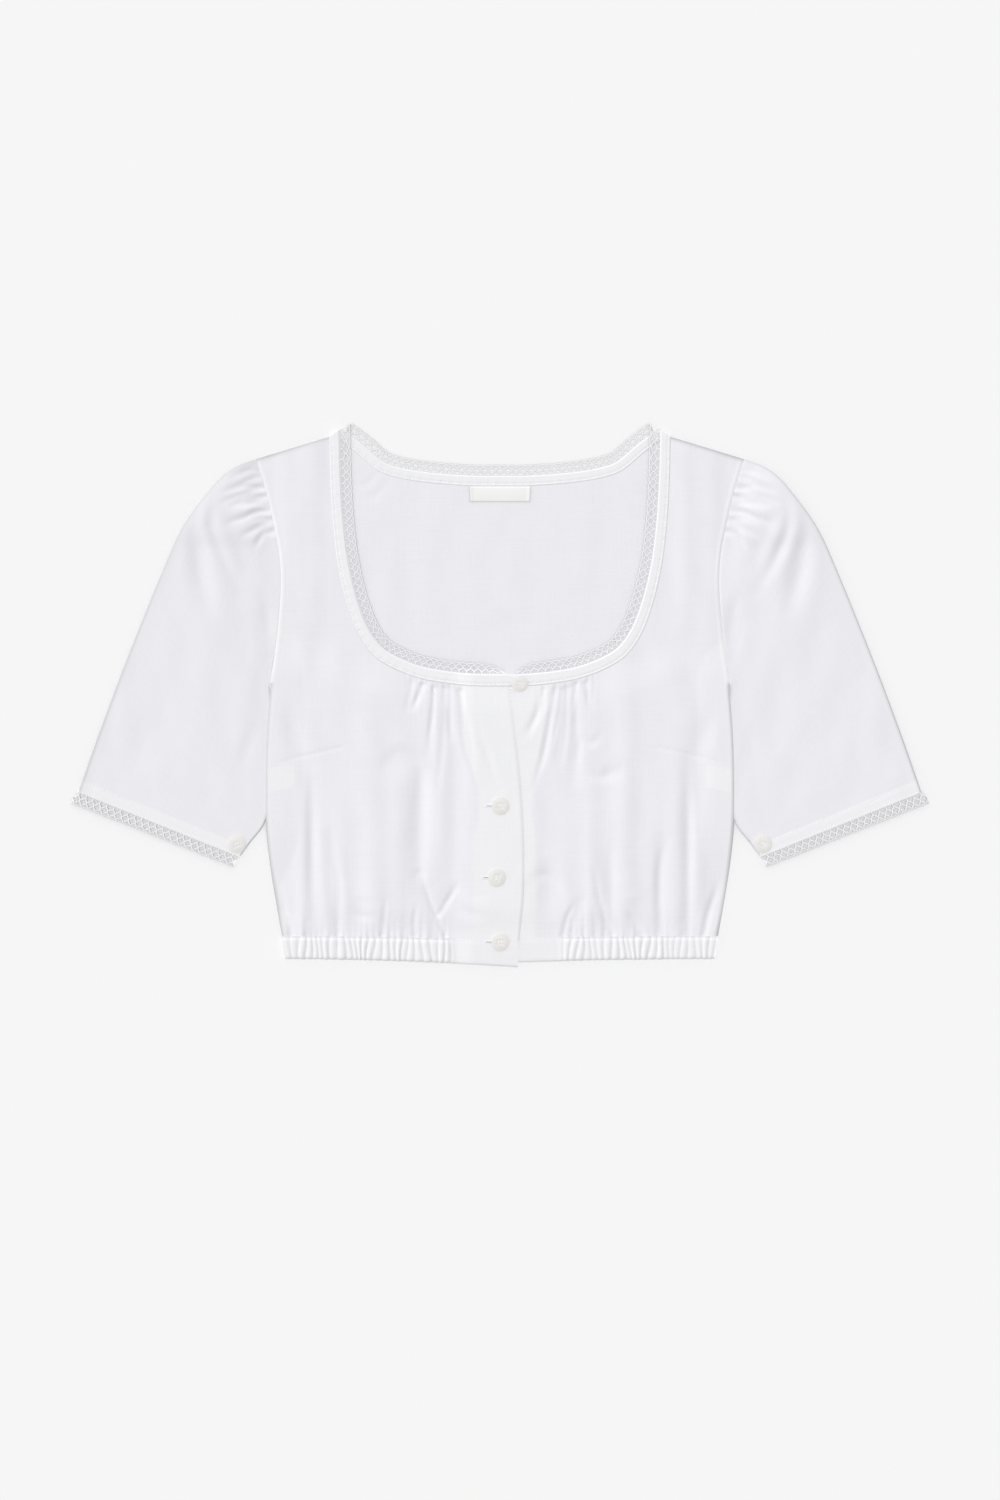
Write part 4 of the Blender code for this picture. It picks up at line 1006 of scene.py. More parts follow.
@dataclass
class FrontPanel:
    """One front: strap, bust and gathers down to the casing, with its turned-in edge."""

    side: Side
    strap_columns: int = 38
    bust_columns: int = 96
    low_rows: int = 165
    strap_rows: int = 104
    flat: tuple[float, float] = (0.212, 0.379)
    area: float = 0.050

    CORNER = 0.475               # share of the neck where the strap ends and the bust begins
    ARM_CORNER = 0.30            # share of the armhole where the lower row of the strap starts
    MIDDLE = 0.34                # share of the bust's width that lies below the strap

    @property
    def upper(self) -> bool:
        """The wearer's right front lies over the left one."""
        return self.side is Side.RIGHT

    def edge_x(self, y: Array) -> Array:
        """The centre edge of this front, as x of the -X half."""
        if not self.upper:
            return np.full(np.shape(y), CASING.underlap)
        bow = 11.0 * np.sin(math.pi / 2 * np.minimum(1.0, (3.0 - y) / 128.0))
        return 7.2 + bow - 4.2 * smooth((-140.0 - y) / 60.0)

    def seam_edge(self, share: Array) -> Array:
        """Up the side seam and a little way up the armhole."""
        goal = share * (SIDE_LINE.length + ARMHOLE_LINE.length * self.ARM_CORNER)
        arm = ARMHOLE_LINE.at((goal - SIDE_LINE.length) / ARMHOLE_LINE.length)
        low = SIDE_LINE.at(goal / SIDE_LINE.length)
        return np.where((goal <= SIDE_LINE.length)[..., None], low, arm)

    def casing_seam(self, share: Array) -> Array:
        """Along the casing."""
        x = between(share, -CASING.half_width, float(self.edge_x(np.array(CASING.top_y))))
        return np.stack([x, CASING.top(x, self.upper) + LAYERS.seam], -1)

    def bust_top(self, share: Array) -> Array:
        """From the armhole straight to the neck and then along it."""
        end = NECK_END_SHARE if self.upper else 1.0
        corner = NECK_LINE.aside(np.array(self.CORNER), -LAYERS.seam)
        arm = ARMHOLE_LINE.at(np.array(self.ARM_CORNER))
        part = (share - self.MIDDLE) / (1 - self.MIDDLE)
        far = NECK_LINE.aside(between(np.clip(part, 0, 1), self.CORNER, end), -LAYERS.seam)
        straight = between((share / self.MIDDLE)[..., None], arm, corner)
        return np.where((share <= self.MIDDLE)[..., None], straight, far)

    def centre_edge(self, share: Array) -> Array:
        """Up the centre edge."""
        low = self.casing_seam(np.array(1.0))
        high = self.bust_top(np.array(1.0))
        y = between(share, low[1], high[1])
        pull = float(self.edge_x(high[1])) - high[0]
        return np.stack([self.edge_x(y) - pull * share ** 8, y], -1)

    def shape(self) -> tuple[Array, Array, Array]:
        """Places of the grid, and which of them are used."""
        bust = patch(self.casing_seam, self.bust_top, self.seam_edge, self.centre_edge)
        strap = patch(
            lambda share: self.bust_top(share * self.MIDDLE),
            SHOULDER_LINE.at,
            lambda share: ARMHOLE_LINE.at(between(share, self.ARM_CORNER, 1.0)),
            lambda share: NECK_LINE.aside(between(share, self.CORNER, 0.0), -LAYERS.seam),
        )
        across = np.linspace(0, 1, self.strap_columns + 1)
        rest = np.linspace(self.MIDDLE, 1, self.bust_columns + 1)[1:]
        wide, low = np.meshgrid(np.concatenate([across * self.MIDDLE, rest]),
                                np.linspace(0, 1, self.low_rows + 1))
        lower = bust(wide, low)
        strap_u, strap_v = np.meshgrid(across, np.linspace(0, 1, self.strap_rows + 1)[1:])
        tall = strap(strap_u, strap_v)
        spare = np.repeat(tall[:, -1:], self.bust_columns, axis=1)
        places = np.concatenate([lower, np.concatenate([tall, spare], axis=1)])
        keep = np.ones(places.shape[:2], bool)
        keep[self.low_rows + 1:, self.strap_columns + 1:] = False
        return places[..., 0], places[..., 1], keep

    def height(self, x: Array, y: Array) -> Array:
        """Top of the cloth, with its seams; x is that of the -X half."""
        z = DRAPE.front(x * self.side.value, y, self.upper)
        low = LAYERS.upper + 0.35
        arm = clearance(x, y, ARMHOLE_LINE)
        z = z + 0.24 * smooth((3.2 - arm) / 0.9) - 0.5 * (1 - rounded(arm / 0.9))
        z = low + (z - low) * rounded(clearance(x, y, SIDE_LINE) / 3.0)
        z = low + (z - low) * rounded(clearance(x, y, SHOULDER_LINE) / 2.6)
        if self.upper:
            edge = np.where(y < 12.0, self.edge_x(y) - x, 9.0)
            z = z - 0.75 * (1 - rounded(edge / 0.9))
        return z

    def doubled(self, x: Array, y: Array) -> Array:
        """Where the cloth lies double: facing, seam allowances and the dart's fold."""
        share = np.clip(-y / 85.0, 0.0, 1.0)
        inner = between(smooth(share), -33.0, -19.0) - 4.0 * smooth((-85.0 - y) / 30.0)
        if not self.upper:
            inner = between(smooth(share), -39.0, -26.0) - 4.0 * smooth((-85.0 - y) / 30.0)
        facing = smooth((x - inner) / 5.0) * smooth((12.0 - y) / 4.0)
        arm = smooth((3.6 - clearance(x, y, ARMHOLE_LINE)) / 0.9)
        side = 0.6 * smooth((5.5 - clearance(x, y, SIDE_LINE)) / 1.5)
        inside = smooth((x + 176.0) / 2.0) * smooth((-153.0 - x) / 2.5)
        slope = (x + 165.0) * 0.22
        dart = inside * smooth((-53.5 + slope - y) / 1.2) * smooth((y + 73.0 - slope) / 1.5)
        return np.maximum.reduce([facing, arm, side, dart])

    def make(self, bench: Bench) -> Any:
        """The front as a finished piece."""
        x, y, keep = self.shape()
        turn = self.side.value
        # Painted shade along the side seam and shoulder edges.
        rim = np.minimum(clearance(x, y, SIDE_LINE) + (0.0 if self.upper else 1.1),
                         clearance(x, y, SHOULDER_LINE))
        grid = Grid(placed(x, y, self.height(x, y), turn), np.stack([x * turn, y], -1),
                    self.doubled(x, y), keep, shade=np.exp(-(rim / 1.9) ** 2))
        name = "front_" + self.side.word
        piece = bench.add("cloth_" + name, bench.mesh(name, grid), Slot.COTTON, [name])
        bench.thicken(piece)
        return piece


@dataclass
class BackPanel:
    """The back, in one piece and flat on its face."""

    columns: int = 90
    rows: int = 200
    flat: tuple[float, float] = (0.372, 0.379)
    area: float = 0.128

    SHOULDER = 0.36              # share of the top that is shoulder seam

    def seam_edge(self, share: Array) -> Array:
        """Up the side seam and the armhole."""
        whole = BACK_SIDE_LINE.length + ARMHOLE_LINE.length
        goal = share * whole
        low = BACK_SIDE_LINE.at(goal / BACK_SIDE_LINE.length)
        high = ARMHOLE_LINE.aside((goal - BACK_SIDE_LINE.length) / ARMHOLE_LINE.length,
                                  -1.1 * (1 - share))
        return np.where((goal <= BACK_SIDE_LINE.length)[..., None], low, high)

    def top(self, share: Array) -> Array:
        """Along the shoulder and the neck."""
        shoulder = between((share / self.SHOULDER)[..., None], np.array(ARMHOLE[-1]),
                           np.array(BACK_NECK[0]) - (LAYERS.seam, 0.0))
        neck = BACK_NECK_LINE.aside((share - self.SHOULDER) / (1 - self.SHOULDER), -LAYERS.seam)
        return np.where((share <= self.SHOULDER)[..., None], shoulder, neck)

    def make(self, bench: Bench) -> Any:
        """The back as a finished piece."""
        seam_y = CASING.top_y + 0.1
        area = patch(
            lambda share: np.stack([between(share, -CASING.half_width, 0.0),
                                    np.full(np.shape(share), seam_y)], -1),
            self.top, self.seam_edge,
            lambda share: np.stack([np.zeros(np.shape(share)),
                                    between(share, seam_y, BACK_NECK[-1][1] - LAYERS.seam)], -1),
        )
        u, v = np.meshgrid(np.linspace(0, 1, self.columns + 1), np.linspace(0, 1, self.rows + 1))
        half = area(u, v)
        other = half[:, -2::-1] * (-1.0, 1.0)
        places = np.concatenate([half, other], axis=1)
        x, y = places[..., 0], places[..., 1]
        edge = np.minimum(clearance(-np.abs(x), y, BACK_SIDE_LINE),
                          clearance(-np.abs(x), y, ARMHOLE_LINE))
        edge = np.minimum(edge, clearance(-np.abs(x), y, SHOULDER_LINE))
        lift = 0.55 * (1 - rounded(edge / 3.0))
        wave = (0.22 + waves(x, y, 20, 8, 0.14)) * smooth((edge - 2.0) / 10.0)
        z = 0.60 + lift + np.clip(wave - crease_depth(BACK_CREASES, x, y), -0.12, 0.5)
        seam = smooth((5.5 - edge) / 1.5) * 0.6
        grid = Grid(placed(x, y, z), places, seam)
        piece = bench.add("cloth_back_panel", bench.mesh("back_panel", grid), Slot.COTTON,
                          ["back_panel"])
        bench.thicken(piece)
        return piece


@dataclass
class Sleeve:
    """A puffed sleeve laid flat, as one tube of cloth from the armhole to its hem."""

    side: Side
    rows: int = 150
    top_columns: int = 96
    under_columns: int = 30
    arc: int = 8
    hem: float = 8.5
    flat: tuple[float, float] = (0.300, 0.225)
    area: float = 0.057

    SLIT = 0.87                  # share of the length at which the underarm slit begins

    def __post_init__(self) -> None:
        """Set up the map from shares to places."""
        self.map = patch(OUTER_LINE.at, INNER_LINE.at,
                         lambda share: ARMHOLE_LINE.aside(1 - share, LAYERS.seam), self.hem_line)

    @staticmethod
    def hem_line(share: Array) -> Array:
        """The hem fold from the upper fold to the underarm."""
        share = np.asarray(share)[..., None]
        return between(share, np.array(SLEEVE_OUTER[-1]), np.array(SLEEVE_INNER[-1]))

    def above_hem(self, x: Array, y: Array) -> Array:
        """Distance of places from the hem fold."""
        one, two = np.array(SLEEVE_OUTER[-1]), np.array(SLEEVE_INNER[-1])
        way = (two - one) / np.linalg.norm(two - one)
        return -(x - one[0]) * way[1] + (y - one[1]) * way[0]

    def height(self, x: Array, y: Array) -> Array:
        """Top of the upper layer."""
        outer = clearance(x, y, OUTER_LINE, 20.0)
        inner = clearance(x, y, INNER_LINE, 20.0)
        swell = DRAPE.puff(x, y) * rounded(outer / 13.0) * smooth(inner / 9.0)
        seam = clearance(x, y, ARMHOLE_LINE)
        calm = smooth(outer / 12.0) * smooth((inner - 4.0) / 12.0) * smooth((y + 96.0) / 20.0)
        fine = waves(x, y, 40, 9, 0.20) * calm
        cap = smooth((y - 104.0) / 14.0) * smooth(outer / 8.0)
        fine = fine - crease_depth(SLEEVE_CREASES, x, y) * smooth(outer / 10.0)
        phase = 2 * math.pi * (y + 0.25 * x) / 4.1 + 1.1 * np.sin(y / 7.0)
        fine = fine + 0.5 * cap * (np.abs(np.cos(phase / 2)) - 0.6) * np.exp(-seam / 6.0)
        hem = 0.22 * smooth((self.hem - self.above_hem(x, y)) / 0.8)
        pucker = np.abs(np.cos(1.15 * x + 1.3 * np.sin(x / 6.0))) - 0.5
        pucker = 0.16 * pucker * np.exp(-((self.above_hem(x, y) - self.hem - 2.5) / 2.5) ** 2)
        groove = -0.35 * (1 - rounded(seam / 0.9))
        return np.maximum(LAYERS.sleeve + swell + fine + hem + groove + pucker, 1.7)

    def make(self, bench: Bench) -> Any:
        """The sleeve as a finished piece."""
        s = np.linspace(0, 1, self.rows + 1)[:, None]
        w = np.linspace(0, 1, self.top_columns + 1)[None, :]
        ends = [self.map(s, np.full_like(s, share)) for share in (0.0, 1.0)]
        span = np.linalg.norm(ends[1] - ends[0], axis=-1)
        inset = 1.35 / span
        top = self.map(s, between(w, inset, 1 - inset))
        top_z = self.height(top[..., 0], top[..., 1])
        slit = smooth((s - self.SLIT) / 0.03)
        angles = np.linspace(-math.pi / 2, math.pi / 2, self.arc + 1)[None, :-1]
        outer = inset * (1 - np.cos(angles))
        outer_z = top_z[:, :1] / 2 * (1 + np.sin(angles))
        angles = -angles
        inner = inset * (1 - np.cos(angles))
        inner_z = top_z[:, -1:] / 2 * (1 + np.sin(angles))
        low = np.sin(angles) < 0.35
        inner = between(slit, inner, inset * np.where(low, 0.15, 1.0))
        inner_z = between(slit, inner_z, np.where(low, np.minimum(inner_z, 0.8), inner_z))
        parts = [self.map(s, outer), self.map(s, 1 - inner)]
        heights = [outer_z, inner_z]
        runs = [-1.4 * np.ones_like(outer), span + 4.0 * np.ones_like(inner)]
        under_w = np.linspace(1, 0, self.under_columns + 1)[None, :-1][:, 1:]
        under = self.map(s, between(under_w, inset, 1 - inset))
        places = np.concatenate([parts[0], top, parts[1], under], axis=1)
        flat_z = np.full(under.shape[:2], 0.0)
        z = np.concatenate([heights[0], top_z, heights[1], flat_z], axis=1)
        run = np.concatenate([runs[0], w * span, runs[1], (2 - under_w) * span + 8.0], axis=1)
        run = np.concatenate([run, 2 * span + 4.0], axis=1)
        length = s * 225.0 * np.ones_like(run)
        x, y = places[..., 0], places[..., 1]
        fold = smooth((self.hem - self.above_hem(x, y)) / 0.8)
        seam = smooth((2.2 - clearance(x, y, ARMHOLE_LINE)) / 1.0) * 0.7
        turn = self.side.value
        # Painted shade along the sleeve's folded edges.
        outer_rim = clearance(x, y, OUTER_LINE) + (0.0 if turn > 0 else 0.5)
        rim = np.minimum(outer_rim, clearance(x, y, INNER_LINE) + 1.0)
        # A broad band of painted shade along the outer fold of the -X sleeve, where the key light falls on
        # its cap.
        dim = 0.16 + 0.22 * smooth((y - 60.0) / 60.0)
        dim = dim * np.exp(-clearance(x, y, OUTER_LINE, 30.0) / 9.0) * (turn > 0)
        grid = Grid(placed(x, y, z, turn), np.stack([run * turn, length], -1),
                    np.maximum(fold, seam), closed=True,
                    shade=np.maximum(np.exp(-(rim / 1.6) ** 2), dim))
        name = "sleeve_" + self.side.word
        piece = bench.add("cloth_" + name, bench.mesh(name, grid, 1.7 * MM), Slot.COTTON, [name])
        bench.thicken(piece)
        return piece


@dataclass
class Strip:
    """A folded band of cloth with a closed section along a row of stations."""

    name: str
    nodes: tuple[str, ...]
    turn: int = 1

    def make(self, bench: Bench, top: Array, under: Array, flat: Array) -> Any:
        """Join the upper and lower faces of a band.

        Args:
            bench: where it is made.
            top: stations by points across, from one edge to the other.
            under: the same for the lower face, in the same order.
            flat: stations by points across, in the flat cloth.

        Returns:
            The piece.
        """
        ring = np.concatenate([top, under[:, ::-1]], axis=1)
        wide = flat[:, -1:, 0] - flat[:, :1, 0]
        back = flat[:, ::-1] + np.stack([wide + 1.0, np.zeros_like(wide)], -1)
        around = np.concatenate([flat, back, flat[:, :1]], axis=1)
        points = placed(ring[..., 0], ring[..., 1], ring[..., 2], self.turn)
        grid = Grid(points, around, np.zeros(ring.shape[:2]), closed=True)
        mesh = bench.mesh(self.name, grid)
        bench.close_ends(mesh)
        return bench.add("cloth_" + self.name, mesh, Slot.DOUBLED, self.nodes)


@dataclass
class NeckEdge:
    """The band round one stretch of the neck, and what is sewn to it."""

    name: str
    line: Line
    end: float
    lace_end: float
    turn: int
    upper: bool
    slant: float
    thick: float
    back: bool = False

    SHOULDER = 7.6
    CENTRE = 9.0

    def width(self, share: Array) -> Array:
        """The front band is a little wider at the centre than on the shoulder."""
        if self.back:
            return np.full(np.shape(share), self.SHOULDER)
        return between(smooth(share / 0.9), self.SHOULDER, self.CENTRE)

    def place(self, share: Array, out: Array) -> Array:
        """A place beside the seam; the ends are cut along the shoulder."""
        spot = self.line.aside(share, out, self.slant * (1 - smooth(share / 0.08)))
        return spot

    def under(self, x: Array, y: Array) -> Array:
        """Height of the band's underside."""
        if self.back:
            return np.full(np.shape(x), 0.05)
        height = LAYERS.upper + 0.6 * DRAPE.rise(x * self.turn, np.minimum(y, 190.0))
        return height + (DRAPE.lap(x, LAYERS.band) if self.upper else 0.0)

    def top(self, share: Array, out: Array) -> Array:
        """Places and heights of the band's upper face."""
        spot = self.place(share, out)
        width = self.width(share)
        edge = np.minimum(out, width - out)
        run = share * self.line.length
        tense = 0.10 * np.sin(run / 1.15 + 2.0 * np.sin(run / 23.0)) * smooth(1 - out / width)
        groove = -0.22 * np.exp(-((out - 1.9) / 0.45) ** 2)
        body = self.thick * rounded((edge + 0.25) / 1.0) + tense * rounded(edge / 1.0)
        z = self.under(spot[..., 0], spot[..., 1]) + body + groove
        return np.concatenate([spot, z[..., None]], -1)

    def make(self, bench: Bench, seams: Stitches) -> Any:
        """The band as a finished piece, and its stitches."""
        count = round(self.line.length * self.end / 1.6)
        share = np.linspace(0, self.end, count + 1)[:, None]
        step = np.concatenate([[0.0, 0.25, 0.6, 1.0], np.linspace(1.45, 2.35, 4)])
        width = self.width(share)
        tail = np.concatenate([np.linspace(0.42, 0.88, 5) * width, width - 0.6, width - 0.25, width], 1)
        out = np.concatenate([np.repeat(step[None, :], count + 1, 0), tail], axis=1)
        top = self.top(share, out)
        low = self.place(share, between(np.linspace(0.06, 0.94, 5)[None, :], 0.0, width))
        floor = self.under(low[..., 0], low[..., 1])
        under = np.concatenate([low, floor[..., None]], -1)
        run = share * self.line.length
        flat = np.stack([np.concatenate([out], 1), np.repeat(run, out.shape[1], 1)], -1)
        ring = np.concatenate([top, under[:, ::-1]], axis=1)
        low_flat = np.stack([np.linspace(10, 18, 5)[None, :] * np.ones_like(run),
                             np.repeat(run, 5, 1)], -1)
        around = np.concatenate([flat, low_flat, flat[:, :1] + (20.0, 0.0)], axis=1)
        grid = Grid(placed(ring[..., 0], ring[..., 1], ring[..., 2], self.turn), around,
                    np.full(ring.shape[:2], 0.8), closed=True)
        mesh = bench.mesh(self.name, grid)
        bench.close_ends(mesh)
        piece = bench.add("cloth_" + self.name, mesh, Slot.DOUBLED, [self.name])
        steps = np.linspace(0.004, self.end - 0.004, 400)
        path = self.top(steps, np.full_like(steps, 1.9))
        seams.run(placed(path[:, 0], path[:, 1], path[:, 2], self.turn))
        return piece


@dataclass
class LaceTrim:
    """Openwork edging: rows of holes between raised strands, with a scalloped cord."""

    name: str
    slot: Slot = Slot.LACE
    pitch: float = 5.9
    rows: tuple[float, ...] = (0.0, 3.0, 5.9, 7.3)
    scallop: float = 0.55
    strand: float = 0.62
    rise: float = 0.36
    cord: float = 0.75
    zig: float = 1.05
    wall: float = 0.3
    # share of the thread's colour left on the holes' rims; below it they take painted shade
    inner: float = 0.15

    STEPS = 4                    # points along one side of a hole's cell

    def border(self, row: int, phase: float) -> Array:
        """A hole's cell as points from its lower left corner round, in pitches and millimetres."""
        low, high = self.rows[row], self.rows[row + 1]
        step = np.arange(self.STEPS) / self.STEPS
        last = row + 2 == len(self.rows)
        bottom = np.stack([step - 0.5, low - self.wave(step - 0.5, row, False)], -1)
        top_run = 0.5 - step
        crown = self.wave(top_run, row, True)
        if last:
            crown = self.scallop * np.sqrt(np.cos(math.pi * top_run) ** 2 + 0.02) - 0.1
        top = np.stack([top_run, high + crown], -1)
        sides = np.arange(1, 2) / 2
        right_low = np.array([0.5, low - float(self.wave(np.array(0.5), row, False))])
        right = np.array([0.5, (low + high) / 2])
        left = np.array([-0.5, (low + high) / 2])
        del sides, right_low
        ring = np.vstack([bottom, [[0.5, bottom[0, 1]]], [right], top, [[-0.5, top[0, 1]]], [left]])
        ring[:, 0] += phase
        return ring

    def wave(self, at: Array, row: int, high: bool) -> Array:
        """How far the edge between two rows swings out round a hole."""
        if row == 0 and not high:
            return np.zeros(np.shape(at))
        return self.zig * np.cos(2 * math.pi * at)

    def tile(self, count: int) -> tuple[Array, list[list[int]], Array]:
        """Flat places, faces and crests of the whole trim.

        Args:
            count: how many holes the first row has.

        Returns:
            Places as pitches along and millimetres out with a height, faces, and crests, from painted
            shade at 0 to the thread's colour at 1.
        """
        points: list[Array] = []
        crests: list[Array] = []
        faces: list[list[int]] = []
        base = 0

        def ladder(rings: list[Array], lift: Sequence[float], light: Sequence[float], close: bool) -> None:
            """Join rings of equal length into bands of quads."""
            nonlocal base
            size = len(rings[0])
            for ring, height, crest in zip(rings, lift, light):
                points.append(np.column_stack([ring, np.full(size, height)]))
                crests.append(np.full(size, crest))
            for layer in range(len(rings) - 1):
                for index in range(size if close else size - 1):
                    after = (index + 1) % size
                    one, two = base + layer * size, base + (layer + 1) * size
                    faces.append([one + index, one + after, two + after, two + index])
            base += size * len(rings)

        for row in range(len(self.rows) - 1):
            odd = row % 2
            middle = (self.rows[row] + self.rows[row + 1]) / 2
            for index in range(count - odd):
                phase = index + 0.5 + 0.5 * odd
                ring = self.border(row, phase)
                centre = np.array([phase, middle + (0.15 if row + 2 == len(self.rows) else 0.0)])
                gap = (ring - centre) * (self.pitch, 1.0)
                reach = np.linalg.norm(gap, axis=1, keepdims=True)
                inner = []
                for part in (0.84, 1.0):
                    keep = np.maximum(0.18, 1 - part * self.strand / reach)
                    inner.append(centre + (ring - centre) * keep)
                # The rings fall from the thread's colour to painted shade at the hole's rim.
                ladder([ring, *inner], (self.rise, self.rise * 0.8, 0.0), (1.0, 0.8, self.inner), True)
            if odd:
                for start, phase in ((0.0, 0.5), (count - 0.5, count)):
                    whole = self.border(row, start if start == 0.0 else float(count))
                    run = np.linspace(start, start + 0.5, 3)
                    low = np.column_stack([run, np.interp(run, *self.sorted_edge(whole, True))])
                    high = np.column_stack([run, np.interp(run, *self.sorted_edge(whole, False))])
                    ladder([low, high], (self.rise, self.rise), (1.0, 1.0), False)
        run = np.arange(count * self.STEPS + 1) / self.STEPS
        top = self.border(len(self.rows) - 2, 0.5)
        odd = (len(self.rows) - 2) % 2
        local = (run + 0.5 * odd) % 1.0
        crown = self.rows[-1] + self.scallop * np.sqrt(np.cos(math.pi * (local - 0.5)) ** 2 + 0.02) - 0.1
        edge = np.column_stack([run, crown])
        del top
        # The cord's outer edge is painted dark as shade.
        ladder([edge, edge + (0.0, 0.5 * self.cord), edge + (0.0, self.cord)],
               (self.rise, self.rise * 0.9, 0.0), (1.0, 0.9, 0.2), False)
        header = np.column_stack([run, np.zeros_like(run)])
        ladder([header - (0.0, 1.3), header], (self.rise, self.rise), (0.9, 1.0), False)
        return np.vstack(points), faces, np.concatenate(crests)

    @staticmethod
    def sorted_edge(ring: Array, low: bool) -> tuple[Array, Array]:
        """The lower or upper edge of a cell as rising positions and their heights."""
        middle = ring[:, 1].mean()
        part = ring[(ring[:, 1] < middle) if low else (ring[:, 1] > middle)]
        part = part[np.argsort(part[:, 0])]
        return part[:, 0], part[:, 1]

    def make(self, bench: Bench, count: int, spot: Callable[[Array, Array, Array], Array],
             nodes: Sequence[str], level: float = -1.0) -> Any:
        """The trim as a finished piece.

        Args:
            bench: where it is made.
            count: how many holes the first row has.
            spot: gives points in metres for a share along, a place out and a height.
            nodes: frame nodes that it stands for.
            level: height in metres above which faces have to look up.

        Returns:
            The piece.
        """
        flat, faces, crests = self.tile(count)
        points = spot(flat[:, 0] / count, flat[:, 1], flat[:, 2])
        mesh = bpy.data.meshes.new(self.name)
        mesh.from_pydata(points.tolist(), [], faces)
        # Crest shares: painted light on the strands, painted shade in hollows and holes.
        share = mesh.attributes.new("doubled", "FLOAT", "POINT")
        share.data.foreach_set("value", crests.astype(np.float32))
        bm = bmesh.new()
        bm.from_mesh(mesh)
        bmesh.ops.remove_doubles(bm, verts=bm.verts, dist=0.00002)
        bmesh.ops.recalc_face_normals(bm, faces=bm.faces)
        total = sum(face.normal.z * face.calc_area() for face in bm.faces
                    if face.calc_center_median().z > level)
        if total < 0:
            bmesh.ops.reverse_faces(bm, faces=bm.faces)
        bm.to_mesh(mesh)
        bm.free()
        mesh.shade_smooth()
        piece = bench.add("trim_" + self.name, mesh, self.slot, nodes)
        bench.thicken(piece, self.wall)
        return piece


@dataclass
class NeckLine:
    """Bands and lace round the neck, in the three stretches that show."""

    lace_level: float = 0.75

    def edges(self) -> list[NeckEdge]:
        """The three stretches."""
        front = [NeckEdge("neck_band_" + side.word, NECK_LINE,
                          NECK_END_SHARE if side is Side.RIGHT else 1.0,
                          NECK_LINE.share_at_x(4.0 if side is Side.RIGHT else -12.0), side.value,
                          side is Side.RIGHT, 0.6, LAYERS.band) for side in Side]
        half = Line([*BACK_NECK, *[(-x, y) for x, y in reversed(BACK_NECK[:-1])]])
        back = NeckEdge("neck_band_back", half, 1.0, 1.0, 1, False, -0.56, 1.15, True)
        return [*front, back]

    def lace(self, bench: Bench, edge: NeckEdge) -> Any:
        """The lace beside one band."""
        name = edge.name.replace("band", "lace")
        trim = LaceTrim(name)
        length = edge.line.length * edge.lace_end
        ends = BackEnds(edge) if edge.back else None

        def spot(share: Array, out: Array, lift: Array) -> Array:
            """Points of the lace."""
            along = share * edge.lace_end
            taper = np.ones_like(along)
            if not edge.back:
                taper = np.sqrt(np.clip((edge.lace_end - along) / 0.05, 0.02, 1.0))
            out = edge.width(along) + 0.1 + np.where(out > 0, out * taper, out)
            place = ends.place(along, out) if ends else edge.place(along, out)
            if edge.back:
                return placed(place[:, 0], place[:, 1], 0.3 + lift, edge.turn)
            level = edge.under(place[:, 0], place[:, 1]) + self.lace_level
            sag = smooth((out - edge.width(along)) / 5.0) * 0.8
            lying = np.maximum(1.75, level - 2.4)
            low = between(sag, level, np.minimum(level, lying))
            base = np.where(place[:, 1] < 60, low, level - 0.3 * sag)
            return placed(place[:, 0], place[:, 1], base + lift, edge.turn)

        return trim.make(bench, round(length / trim.pitch), spot, [name])

    def make(self, bench: Bench, seams: Stitches) -> list[Any]:
        """All bands and laces."""
        pieces = []
        for edge in self.edges():
            if edge.back:
                edge = BackEnds(edge).mend()
            pieces.append(edge.make(bench, seams))
            pieces.append(self.lace(bench, edge))
        return pieces


@dataclass
class BackEnds:
    """Cuts both ends of the back neck's strips along the shoulder seams."""

    edge: NeckEdge

    def place(self, share: Array, out: Array) -> Array:
        """A place beside the back neck, mirrored over the centre."""
        near = np.minimum(share, 1 - share)
        spot = self.edge.line.aside(near, out, self.edge.slant * (1 - smooth(near / 0.04)))
        return spot * np.stack([np.where(share > 0.5, -1.0, 1.0), np.ones_like(near)], -1)

    def mend(self) -> NeckEdge:
        """The same edge with both ends cut."""
        self.edge.place = self.place
        return self.edge


